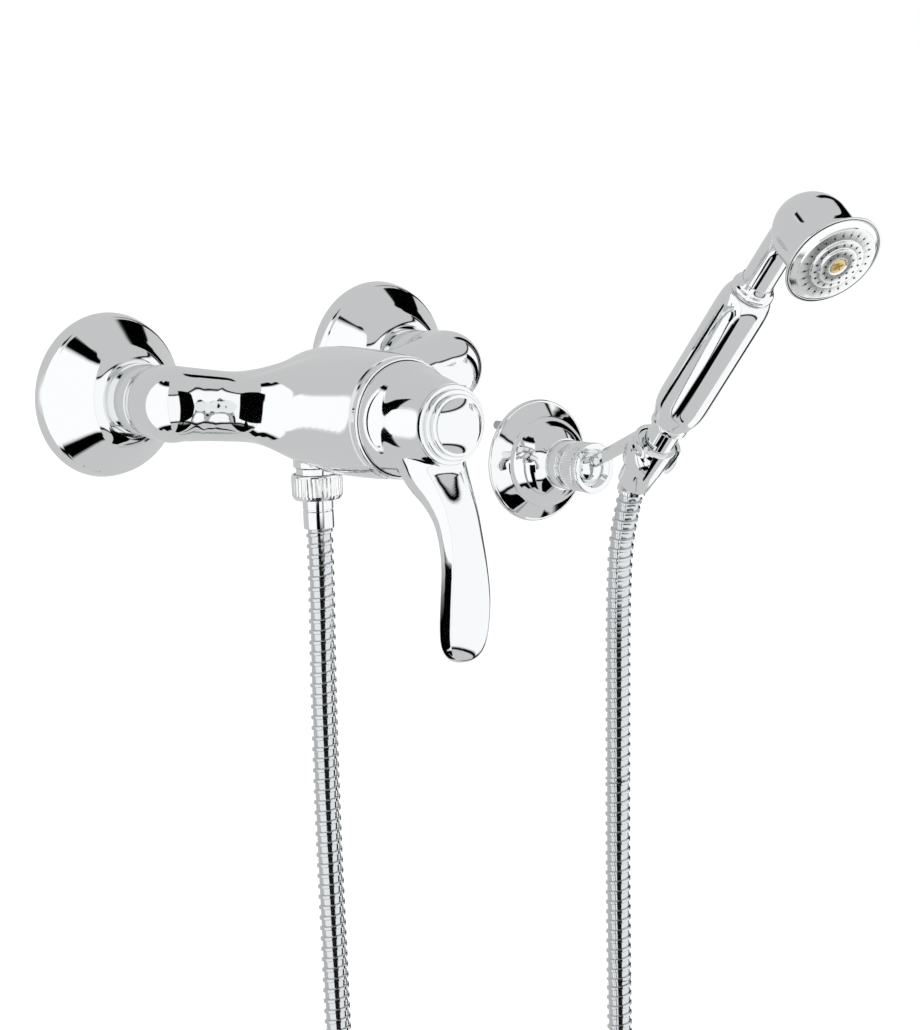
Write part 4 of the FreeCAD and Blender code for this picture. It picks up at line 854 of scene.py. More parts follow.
        # Small flags and one small panel for single pieces
        self.board("left_elbow_flag", (-62.0, -112.5, 5.0), (26.0, -12.5, 0.0), (0.0, 0.0, 42.0), 0.0, 0.05)
        self.board("right_elbow_flag", (123.0, -85.0, 7.0), (15.5, 20.0, -32.0), (-2.0, -5.2, -4.2), 0.0, 0.1)
        self.board("lever_flag", (-72.0, -154.0, -112.0), (0.0, 42.0, 0.0), (0.0, 0.0, 54.0), 0.0, 0.08)
        self.board("head_panel", (335.0, -150.0, -165.0), (-30.0, 100.0, -95.0), (52.0, 58.0, 45.0),
                   self.panel, 0.1)
        for name, hose_x, top in (("left_hose_flag", 0.0, -64.0), ("right_hose_flag", 170.0, -130.0)):
            self.board(name, (hose_x - 53.0, -127.0, (top - 640.0) / 2), (46.0, 0.0, 0.0),
                       (0.0, 0.0, (top + 640.0) / 2), 0.0, 0.08)
        self.lamp("key_lamp", (-1.6, -1.8, 1.8), 1.2, 26.0)
        self.lamp("fill_lamp", (1.9, -1.4, 1.2), 1.4, 14.0)


@dataclass
class Hose:
    """The ribbed shower hose: one wound metal strip in three stretches that meet end to end."""

    diameter: float = 12.3
    groove_depth: float = 0.95
    flank_drop: float = 0.35
    crest_drop: float = 0.04
    valley_swell: float = 0.12
    pitch: float = 5.0
    around: int = 28
    main_route: tuple[Triple, ...] = (
        (0.0, -54.4, -65.3), (0.0, -54.4, -86.0), (0.3, -51.4, -128.0), (-0.3, -49.8, -200.0),
        (0.6, -48.6, -290.0), (0.0, -48.4, -390.0), (-1.0, -48.2, -480.0), (1.5, -48.0, -550.0),
        (24.0, -48.0, -590.0), (62.2, -48.0, -612.0), (107.8, -47.6, -612.0), (146.0, -47.4, -590.0),
        (168.5, -47.2, -550.0), (170.5, -46.8, -480.0), (170.0, -46.6, -392.0), (170.0, -49.6, -315.0))
    swing_route: tuple[Triple, ...] = ((170.0, -49.6, -315.0), (170.0, -52.04, -252.5), (170.0, -54.4, -212.5))
    top_route: tuple[Triple, ...] = (
        (170.0, -54.4, -212.5), (170.0, -56.91, -170.0), (170.0, -58.4, -140.0), (170.0, -60.8, -112.5))
    end_bend: float = 20.0
    end_run: float = 22.0
    tail_length: float = 4.6
    cone_bottom: float = -42.6

    def top_end(self) -> tuple[Vector, Vector]:
        """Work out how the hose ends under the cone nut.

        Returns:
            The end point and the way that the hose points there.
        """
        less = math.radians(HAND_LEAN - self.end_bend)
        way = Vector((0.0, math.sin(less), -math.cos(less)))
        return HAND_FOOT + HAND_AXIS * self.cone_bottom + way * self.tail_length, way

    def line_points(self, route: list[Triple]) -> list[Vector]:
        """Read closely spaced points off the smooth spline of a route.

        Args:
            route: control points in millimetres.

        Returns:
            Points along the spline, in metres, in the part's frame.
        """
        data = bpy.data.curves.new("hose_line", "CURVE")
        data.dimensions = "3D"
        data.resolution_u = 48
        spline = data.splines.new("NURBS")
        spline.points.add(len(route) - 1)
        for point, (x, y, z) in zip(spline.points, route):
            point.co = (x * METRES, y * METRES, (z + UNION_OFFSET) * METRES, 1.0)
        spline.order_u = 3
        spline.use_endpoint_u = True
        carrier = added("hose_line", data)
        bpy.context.view_layer.update()
        line = bpy.data.meshes.new_from_object(carrier)
        points = [vertex.co.copy() for vertex in line.vertices]
        bpy.data.meshes.remove(line)
        bpy.data.objects.remove(carrier)
        bpy.data.curves.remove(data)
        return points

    def wound_strip(self, points: list[Vector]) -> bmesh.types.BMesh:
        """Wind the ribbed strip round a line.

        Args:
            points: the line's points in metres.

        Returns:
            The tube's mesh in millimetres about the arm axis.
        """
        to_mm = Matrix.Translation((0.0, 0.0, -UNION_OFFSET)) @ Matrix.Scale(1.0 / METRES, 4)
        line = [to_mm @ point for point in points]
        reach = [0.0]
        for before, after in zip(line, line[1:]):
            reach.append(reach[-1] + (after - before).length)
        total = reach[-1]
        ridge = self.diameter / 2
        valley = ridge - self.groove_depth
        flank = ridge - self.flank_drop
        crest = ridge - self.crest_drop
        section = ((0.00, valley), (0.30, valley + self.valley_swell), (0.56, valley), (0.60, flank),
                   (0.66, crest), (0.80, ridge), (0.91, crest), (0.96, flank))
        turns = math.ceil(total / self.pitch) + 2
        rows = turns * len(section)
        mesh = bmesh.new()
        bmesh.ops.create_grid(mesh, x_segments=self.around, y_segments=rows, size=1.0)
        spots = []
        for vertex in mesh.verts:
            column = round((vertex.co.x + 1) / 2 * self.around)
            row = round((vertex.co.y + 1) / 2 * rows)
            turn, part = divmod(row, len(section))
            along = (turn - 1 + section[part][0] + column / self.around) * self.pitch
            spots.append((min(max(along, 0.0), total), column, section[part][1], vertex))
        spots.sort(key=lambda spot: spot[0])
        side = Vector((0.0, 1.0, 0.0))
        index = 0
        for along, column, radius, vertex in spots:
            while index + 2 < len(reach) and reach[index + 1] < along:
                index += 1
            share = (along - reach[index]) / (reach[index + 1] - reach[index])
            centre = line[index].lerp(line[index + 1], share)
            behind = line[index + 1] - line[index]
            ahead = line[min(index + 2, len(line) - 1)] - line[index + 1]
            if index + 2 == len(line):
                ahead = behind
            way = behind.normalized().lerp(ahead.normalized(), share).normalized()
            out = (side - way * side.dot(way)).normalized()
            angle = math.tau * column / self.around
            vertex.co = centre + (out * math.cos(angle) + way.cross(out) * math.sin(angle)) * radius
        bmesh.ops.remove_doubles(mesh, verts=mesh.verts, dist=0.004)
        bmesh.ops.dissolve_degenerate(mesh, edges=mesh.edges, dist=0.002)
        bmesh.ops.holes_fill(mesh, edges=[e for e in mesh.edges if e.is_boundary], sides=0)
        bmesh.ops.recalc_face_normals(mesh, faces=mesh.faces)
        return mesh

    def stretch(self, name: str, route: list[Triple],
                body: Body | None) -> tuple[bpy.types.Object, list[Vector]]:
        """Make one stretch of hose along its route.

        Args:
            name: the stretch's CAD node.
            route: its control points in millimetres.
            body: what it rides on, or None where it is left unattached.

        Returns:
            The piece and the points that it follows.
        """
        points = self.line_points(route)
        strip = self.wound_strip(points)
        made = piece(name + "_strip", strip, HOSE_CHROME, body, name, sharp=math.radians(40.0))
        return made, points

    def build(self) -> None:
        end, way = self.top_end()
        high_route = list(self.top_route) + [tuple(end + way * self.end_run), tuple(end)]
        main, main_line = self.stretch("hose_main", list(self.main_route), Body.WALL)
        swing, swing_line = self.stretch("hose_swing", list(self.swing_route), None)
        top, top_line = self.stretch("hose_top", high_route, None)
        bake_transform(swing)
        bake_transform(top)


@dataclass
class WallUnion:
    """Rosette and round union nut at one end of the mixer."""

    side: int
    name: str
    pitch: float = 150.0
    depth: float = 25.2
    nut_r: float = 15.8
    nut_front: float = 40.0
    thread_r: float = 13.3

    def build(self) -> None:
        """Make the rosette and the nut."""
        axis = ACROSS * (self.side * self.pitch / 2)
        shell = Outline([(36.8, 0.0)])
        shell.curve((37.0, 0.4), (36.9, 1.4), (36.2, 4.0), (35.7, 5.6), (35.2, 6.5), (34.4, 7.3), steps=6)
        shell.curve((31.0, 11.4), (27.6, 15.5), (24.8, 18.9), (22.2, 21.8), (19.8, 23.8), (17.6, 24.9), steps=8)
        shell.line((17.2, 25.2), (self.thread_r + 0.2, 25.2), (self.thread_r + 0.2, 24.0), (16.6, 24.0))
        shell.curve((20.6, 21.6), (26.2, 15.4), (33.0, 7.2), steps=6)
        shell.line((34.8, 4.6), (35.9, 0.0))
        mesh = turned(shell, axis, OUT, 144)
        piece("rosette_shell_" + self.name, mesh, CHROME, Body.WALL, "rosette_" + self.name)
        back = self.depth + 0.3
        r, end = self.nut_r, self.nut_front
        nut = Outline().line((self.thread_r, back), (r - 0.9, back, 0.15), (r, back + 0.9, 0.3), (r, end, 0.5),
                             (11.0, end), (11.0, 36.8), (self.thread_r, 36.8))
        mesh = turned(nut, axis, OUT)
        piece("union_nut_ring_" + self.name, mesh, CHROME, Body.WALL, "union_nut_" + self.name)


@dataclass
class MixerBody:
    """Cast body: two arms that swell into a round barrel, with the cavity of the lever's hub."""

    pitch: float = 150.0
    arm_out: float = 55.0
    elbow_r: float = 17.0
    elbow_back: float = 40.3
    drop: float = 9.6
    barrel_back: float = 37.0
    front: float = 123.5
    pivot_out: float = 122.0
    cavity_r: float = 25.75
    joint: float = 119.6
    voxel: float = 0.9
    rounds: int = 50
    sections: tuple[tuple[float, float, float, float], ...] = (
        (75.0, 17.1, 0.0, 55.0), (62.0, 16.3, 1.8, 55.0), (46.0, 15.8, 4.4, 55.0), (37.0, 16.1, 5.4, 55.2),
        (29.0, 17.5, 6.2, 56.0), (21.0, 20.2, 7.2, 58.0), (12.0, 24.0, 8.6, 61.0), (0.0, 26.8, 9.6, 63.0))
    ease_spots: tuple[tuple[float, float, float, float, int], ...] = (
        (22.0, -72.0, 8.0, 22.0, 50), (22.0, -72.0, -26.0, 22.0, 50), (50.0, -66.0, -5.0, 14.0, 40))
    true_from: float = 66.0
    true_over: float = 12.0
    flare_back: float = 64.0
    flare_steps: int = 34
    flare_step: float = 2.0
    flare_root: float = 70.0
    root_wide: float = 10.6
    root_wide_fade: float = 5.0
    root_low: float = 4.4
    root_low_fade: float = 7.0
    widest: float = 56.0
    flare_lean: float = 14.5
    flare_mouth: float = 27.1
    mouth_out: float = 121.0
    flare_height: float = 28.3
    brow_out: float = 95.0
    brow_drop: float = 0.0018
    flare_rise: float = 5.0
    flare_reach: float = 46.0

    def flared(self) -> bmesh.types.BMesh:
        """Skin the flare that leads from the arms' front along the barrel's sides to its mouth.

        Returns:
            A closed mesh whose flanks are raised towards the higher arms.
        """
        rows = []
        slope = math.tan(math.radians(self.flare_lean))
        for step in range(self.flare_steps):
            out = self.flare_back + self.flare_step * step
            behind = self.flare_root - out
            swell = self.root_wide * math.exp(behind / self.root_wide_fade)
            wide = self.flare_mouth + slope * (self.mouth_out - out) + swell
            sunk = self.root_low * math.exp(behind / self.root_low_fade)
            high = self.flare_height - sunk - self.brow_drop * max(out - self.brow_out, 0.0) ** 2
            rows.append((0.0, -out, -self.drop, min(wide, self.widest), high))
        mesh = lofted(rows, ACROSS, 1, 144)
        for vertex in mesh.verts:
            share = min(abs(vertex.co.x) / self.flare_reach, 1.2)
            vertex.co.z += self.flare_rise * share * share
        return mesh

    def trued(self, cast: bmesh.types.BMesh) -> None:
        """Bring the outer halves of the elbows back to true spheres, with true cylinders behind them.

        Args:
            cast: the casting.
        """
        for vertex in cast.verts:
            side = 1.0 if vertex.co.x > 0.0 else -1.0
            away = vertex.co - Vector((side * self.pitch / 2, -self.arm_out, 0.0))
            share = min(max((abs(vertex.co.x) - self.true_from) / self.true_over, 0.0), 1.0)
            share *= min(max((-vertex.co.y - self.arm_out + 2.0) / 6.0 + share, 0.0), 1.0)
            if -vertex.co.y < self.arm_out:
                away.y = 0.0
            if share > 0.0 and 0.8 < away.length / self.elbow_r < 1.1:
                goal = vertex.co - away + away.normalized() * self.elbow_r
                if -vertex.co.y > self.elbow_back + 2.5:
                    vertex.co = vertex.co.lerp(goal, soft_step(share))

    def casting(self) -> bmesh.types.BMesh:
        """Melt arms, elbows and barrel together.

        Returns:
            The outer skin behind the joint with the barrel's front.
        """
        half = [(x, -out, -drop, r, r) for x, r, drop, out in self.sections]
        rows = [(-x, y, z, a, b) for x, y, z, a, b in half[:-1]] + list(reversed(half))
        shapes = [lofted(rows, Vector((0.0, 1.0, 0.0)), 6)]
        for side in (-1, 1):
            centre = Vector((side * self.pitch / 2, -self.arm_out, 0.0))
            shapes.append(ball(centre, self.elbow_r))
            back = Outline([(0.0, self.elbow_back)])
            back.line((self.elbow_r, self.elbow_back, 1.6), (self.elbow_r, self.arm_out), (0.0, self.arm_out))
            shapes.append(turned(back, ACROSS * (side * self.pitch / 2), OUT))
        low, front = self.barrel_back, self.front
        drum = Outline([(0.0, low)])
        drum.curve((10.0, low + 1.4), (18.6, low + 6.2), (24.4, low + 14.0), (27.4, low + 25.0),
                   (28.6, low + 38.0), (28.6, front - 36.0), (28.15, front - 20.0), (27.5, front - 8.0),
                   (27.0, front), (26.6, front + 6.0))
        drum.line((0.0, front + 6.0))
        shapes.append(turned(drum, DOWN * self.drop, OUT, 128))
        shapes.append(self.flared())
        cast = melted(shapes, self.voxel, self.rounds)
        for side in (-1, 1):
            for x, y, z, reach, rounds in self.ease_spots:
                eased(cast, Vector((side * x, y, z)), reach, rounds)
        self.trued(cast)
        planed(cast, OUT * self.joint, OUT)
        return cast

    def barrel_front(self) -> bmesh.types.BMesh:
        """Turn the crisp front of the barrel with its lip, cavity and cartridge seat.

        Returns:
            The front as an open shell that starts at the joint.
        """
        start = math.degrees(math.asin((107.8 - self.pivot_out) / self.cavity_r))
        end = math.degrees(math.asin((self.front - 0.7 - self.pivot_out) / self.cavity_r))
        line = Outline([(26.86, self.joint)])
        line.line((26.82, 120.6), (26.75, 122.2), (26.75, self.front, 0.9), (25.5, self.front, 0.25),
                  (25.5, self.front - 0.6), (25.75, self.front - 0.7))
        line.arc((0.0, self.pivot_out), self.cavity_r, end, start, 32)
        line.line((19.4, 107.8), (19.4, 101.0), (17.4, 101.0), (17.4, 84.0), (0.0, 84.0))
        return turned(line, DOWN * self.drop, OUT, 160, closed=False)

    def build(self) -> None:
        """Join the casting and the barrel's front into one closed body."""
        whole = joined([self.casting(), self.barrel_front()])
        rim = [e for e in whole.edges if e.is_boundary]
        bmesh.ops.bridge_loops(whole, edges=rim)
        bmesh.ops.recalc_face_normals(whole, faces=whole.faces)
        piece("body_casting", whole, CHROME, Body.WALL, "mixer_body")


@dataclass
class Lever:
    """Lever with its round hub, hanging arm, stepped ring and domed button."""

    pivot_out: float = 122.0
    drop: float = 9.6
    hub_r: float = 25.3
    wall: float = 2.4
    skirt_lean: float = 12.0
    skirt_reach: float = 20.0
    front: float = 155.4
    proud_r: float = 18.4
    voxel: float = 0.55
    rounds: int = 40
    root: Triple = (0.0, -145.0, -30.0)
    root_reach: float = 13.0
    root_rounds: int = 30
    true_below: float = 15.0
    true_over: float = 9.0
    arm: tuple[tuple[float, float, float, float], ...] = (
        (138.0, -22.0, 16.0, 14.5), (144.6, -32.0, 14.6, 12.6), (151.2, -40.0, 12.4, 10.2),
        (156.6, -48.6, 11.0, 8.7), (159.6, -58.0, 10.6, 7.9), (161.5, -70.0, 11.2, 7.6),
        (161.3, -84.4, 12.4, 7.8), (159.7, -97.0, 12.4, 7.6), (158.5, -105.0, 11.4, 6.9),
        (157.9, -110.0, 8.8, 5.3), (157.6, -112.6, 5.0, 3.0))
    cap_r: float = 17.45
    cap_step: float = 1.95
    cap_rise: float = 2.15
    button_r: float = 11.9
    button_rise: float = 4.6

    def trued(self, cast: bmesh.types.BMesh, line: list[Pair]) -> None:
        """Bring the hub's skin above the arm back to its turned outline.

        Args:
            cast: the casting.
            line: the hub's outline as radius and height, in rising heights.
        """
        heights = [height for _, height in line]
        for vertex in cast.verts:
            out = -vertex.co.y
            share = soft_step((vertex.co.z + self.drop + self.true_below) / self.true_over)
            if share == 0.0 or not heights[1] < out < self.front + 0.9:
                continue
            spot = bisect.bisect_right(heights, out)
            (near, low), (far, high) = line[spot - 1], line[spot]
            goal = near + (far - near) * (out - low) / (high - low)
            away = math.hypot(vertex.co.x, vertex.co.z + self.drop)
            if away > 0.85 * goal:
                ratio = 1.0 + (goal / away - 1.0) * share
                vertex.co.x *= ratio
                vertex.co.z = (vertex.co.z + self.drop) * ratio - self.drop

    def casting(self) -> bmesh.types.BMesh:
        """Melt hub and arm together and hollow the hub.

        Returns:
            The closed casting.
        """
        axis = DOWN * self.drop
        pivot = Vector((0.0, -self.pivot_out, -self.drop))
        hub = Outline()
        hub.arc((0.0, self.pivot_out), self.hub_r, -90.0, 24.0, 48)
        hub.curve((22.2, 134.8), (20.9, 140.6), (19.4, 147.4), (17.9, 154.2), (17.3, self.front + 2.0), steps=8)
        hub.line((0.0, self.front + 2.0))
        rows = [(0.0, -out, height, wide, deep) for out, height, wide, deep in self.arm]
        line = list(hub.points)
        cast = melted([turned(hub, axis, OUT, 128), lofted(rows, ACROSS, 6)], self.voxel, self.rounds)
        eased(cast, Vector(self.root), self.root_reach, self.root_rounds)
        self.trued(cast, line)
        lean = math.radians(self.skirt_lean)
        behind = Vector((0.0, math.cos(lean), math.sin(lean)))
        depth = self.hub_r * math.sin(math.radians(self.skirt_reach))
        planed(cast, pivot + behind * depth, behind)
        planed(cast, OUT * self.front, OUT, kept=True)
        proud = []
        for face in cast.faces:
            middle = face.calc_center_median()
            if middle.y < -self.front and math.hypot(middle.x, middle.z + self.drop) < self.proud_r:
                proud.append(face)
        bmesh.ops.delete(cast, geom=proud, context="FACES")
        bmesh.ops.holes_fill(cast, edges=[e for e in cast.edges if e.is_boundary], sides=0)
        bmesh.ops.recalc_face_normals(cast, faces=cast.faces)
        return carved(cast, ball(pivot, self.hub_r - self.wall))

    def build(self) -> None:
        """Make the casting, the stepped ring and the button."""
        axis = DOWN * self.drop
        piece("lever_casting", self.casting(), CHROME, Body.LEVER, "lever")
        ring = Outline([(9.0, self.front - 2.6), (12.4, self.front - 2.6), (12.4, self.front + 0.1)])
        height = self.front + 0.1
        for step in range(3):
            radius = self.cap_r - step * self.cap_step
            top = height + self.cap_rise
            ring.line((radius - 0.25, height), (radius, height + 0.25), (radius, top, 0.6),
                      (radius - self.cap_step, top))
            height = top
        ring.line((9.0, height))
        piece("cap_steps", turned(ring, axis, OUT, 128), CHROME, Body.LEVER, "cap_ring")
        button = Outline([(0.0, height - 7.0), (8.9, height - 7.0), (8.9, height + 0.1)])
        r = self.button_r
        button.line((r - 0.3, height + 0.1), (r, height + 0.4), (r, height + 0.6))
        crown = self.button_rise - 0.5
        crown_r = (r ** 2 + crown ** 2) / (2 * crown)
        spread = math.degrees(math.asin((r - 0.35) / crown_r))
        button.arc((0.0, height + 0.1 + self.button_rise - crown_r), crown_r, 90.0 - spread, 90.0, 20)
        piece("cap_dome", turned(button, axis, OUT, 128), CHROME, Body.LEVER, "cap_button")


@dataclass
class Outlet:
    """Outlet nipple, knurled hose nut and the sleeve at the hose's lower end."""

    out: float = 54.4
    nut_r: float = 11.6
    nut_top: float = 40.2
    nut_bottom: float = 51.6
    ridges: int = 36
    sleeve_r: float = 7.0
    sleeve_end: float = 65.3

    def build(self) -> None:
        """Make the nut, the nipple's shoulder and the sleeve."""
        base = OUT * self.out
        r, top, low = self.nut_r, self.nut_top, self.nut_bottom
        nut = Outline().line((10.6, top), (r - 0.2, top, 0.5), (r, top + 0.9), (r, top + 1.0),
                             (r, low - 2.1), (r, low - 1.9), (r - 1.0, low, 0.3), (7.5, low),
                             (7.5, low - 1.4), (10.6, low - 1.4))
        knurled = turned(nut, base, DOWN, self.ridges * 8)
        fluted(knurled, base, DOWN, self.nut_top + 0.95, self.nut_bottom - 2.0, 11.4, 0.3, self.ridges)
        piece("hose_nut_knurled", knurled, SATIN_CHROME, Body.NUT, "hose_nut", sharp=math.radians(50.0))
        shoulder = Outline().line((6.6, 29.4), (10.4, 29.4), (10.4, 36.6), (10.0, 36.9), (9.3, 37.4),
                                  (9.3, 40.6), (10.4, 41.0), (10.4, 47.2), (6.6, 47.4))
        piece("outlet_shoulder", turned(shoulder, base, DOWN), CHROME, Body.WALL, "outlet_nipple")
        r, end = self.sleeve_r, self.sleeve_end
        sleeve = Outline().line((4.1, 49.1), (9.9, 49.1), (9.9, 49.9), (r, 49.9), (r, 56.0), (r - 0.25, 56.3),
                                (r - 0.25, 56.9), (r, 57.2), (r, end, 0.8), (4.1, end))
        piece("hose_sleeve_low", turned(sleeve, base, DOWN), CHROME, Body.WALL, "hose_ferrule_low")


@dataclass
class WallHolder:
    """Domed rosette, socket, knurled clamp knob, ball, rod and open cradle."""

    x: float = 170.0
    drop: float = 60.2
    ball_out: float = 38.0
    ball_r: float = 8.8
    ridges: int = 60
    rod_elevation: float = 24.0
    cradle_top: float = -14.3
    cradle_bottom: float = -30.8
    slot: float = 17.0

    def base(self) -> Vector:
        """Where the holder's axis meets the wall."""
        return Vector((self.x, 0.0, -self.drop))

    def rosette(self) -> None:
        """Make the domed cover and the socket's collar."""
        shell = Outline([(29.5, 0.0)])
        shell.curve((30.1, 0.5), (30.0, 1.4), (29.6, 2.1), (28.7, 2.5), steps=4)
        shell.curve((25.6, 5.0), (22.6, 7.7), (22.3, 8.2), steps=6)
        shell.curve((21.6, 11.2), (19.3, 15.4), (16.4, 19.2), (12.6, 22.7), steps=8)
        shell.line((12.2, 22.8), (9.8, 22.8), (9.8, 21.8), (12.0, 21.8))
        shell.curve((15.6, 18.4), (18.3, 14.9), (20.5, 10.9), (21.3, 8.0), (24.8, 4.2), (27.6, 1.9), steps=5)
        shell.line((28.8, 1.2), (29.1, 0.0))
        piece("holder_dome", turned(shell, self.base(), OUT, 144), CHROME, Body.WALL, "holder_rosette")
        collar = Outline().line((4.1, 19.8), (9.5, 19.8), (9.5, 22.9), (12.1, 22.9, 0.7), (12.1, 29.6, 0.8),
                                (10.9, 29.6, 0.2), (10.9, 31.0), (10.0, 31.0), (10.0, 38.3), (7.9, 38.3))
        collar.arc((0.0, self.ball_out), 9.15, 2.0, -40.0, 12)
        collar.line((4.1, 31.0))
        piece("socket_collar", turned(collar, self.base(), OUT), CHROME, Body.WALL, "holder_socket")

    def knob(self) -> None:
        """Make the knurled clamp knob."""
        line = Outline()
        line.line((10.1, 31.4), (11.2, 31.4, 0.2), (11.2, 33.0, 0.1), (12.0, 33.0, 0.2), (12.2, 33.5),
                  (12.2, 33.6), (12.2, 41.1), (12.2, 41.2), (12.0, 41.8, 0.2), (11.5, 41.8), (11.5, 42.6),
                  (12.4, 42.6, 0.3), (12.5, 45.2, 0.9), (9.6, 45.2, 0.5), (7.3, 43.0, 0.2), (7.3, 42.4))
        line.arc((0.0, self.ball_out), 9.15, 36.0, 5.0, 12)
        line.line((10.1, 38.9))
        steps = self.ridges * 8
        mesh = turned(line, self.base(), OUT, steps)
        fluted(mesh, self.base(), OUT, 33.55, 41.15, 12.1, 0.32, self.ridges)
        piece("clamp_knob_knurled", mesh, CHROME, Body.CLAMP, "clamp_knob", sharp=math.radians(50.0))

    def joint(self) -> None:
        """Make the ball and the rod with the cradle."""
        centre = self.base() + OUT * self.ball_out
        angle = math.radians(self.rod_elevation)
        way = Vector((0.0, -math.cos(angle), math.sin(angle)))
        sphere = Outline().arc((0.0, 0.0), self.ball_r, -90.0, 70.0, 40)
        sphere.line((2.9, 8.2), (2.9, 2.0), (0.0, 2.0))
        piece("joint_ball", turned(sphere, centre, way), CHROME, Body.ARM, "holder_ball")
        middle = (self.cradle_top + self.cradle_bottom) / 2
        rim = self.cradle_top - 2.8
        cup = Outline().line((9.6, self.cradle_bottom), (10.4, self.cradle_bottom))
        cup.curve((11.2, self.cradle_bottom + 0.6), (12.2, self.cradle_bottom + 3.2), (12.7, middle - 0.6),
                  (12.4, middle + 3.0), (11.5, rim - 0.1), steps=8)
        cup.line((11.8, rim), (11.8, self.cradle_top, 0.5), (10.1, self.cradle_top, 0.25), (10.1, rim))
        cradle = turned(cup, HAND_FOOT, HAND_AXIS, 128)
        opening = block(laid(HAND_FOOT, HAND_AXIS), (0.0, -20.0, middle), (self.slot, 40.0, 24.0))
        cradle = carved(cradle, opening)
        length = (HAND_FOOT - centre).length
        reach = 11.0
        bar = Outline([(0.0, 2.0)]).line((2.8, 2.0), (2.8, 10.3), (3.2, 10.7, 0.2), (3.2, length - 20.0))
        bar.curve((3.25, length - 17.0), (3.6, length - 14.2), (4.6, length - reach - 0.4), steps=4)
        bar.line((0.0, length - reach - 0.4))
        clear = Outline().line((0.0, -33.0), (9.8, -33.0), (10.4, rim - 0.3), (40.0, rim - 0.3),
                               (40.0, 30.0), (0.0, 30.0))
        rod = carved(turned(bar, centre, way, 48), turned(clear, HAND_FOOT, HAND_AXIS, 128))
        cast = joined([cradle, rod])
        piece("rod_and_cradle", cast, CHROME, Body.ARM, "holder_arm")

    def build(self) -> None:
        """Make the whole holder."""
        self.rosette()
        self.knob()
        self.joint()


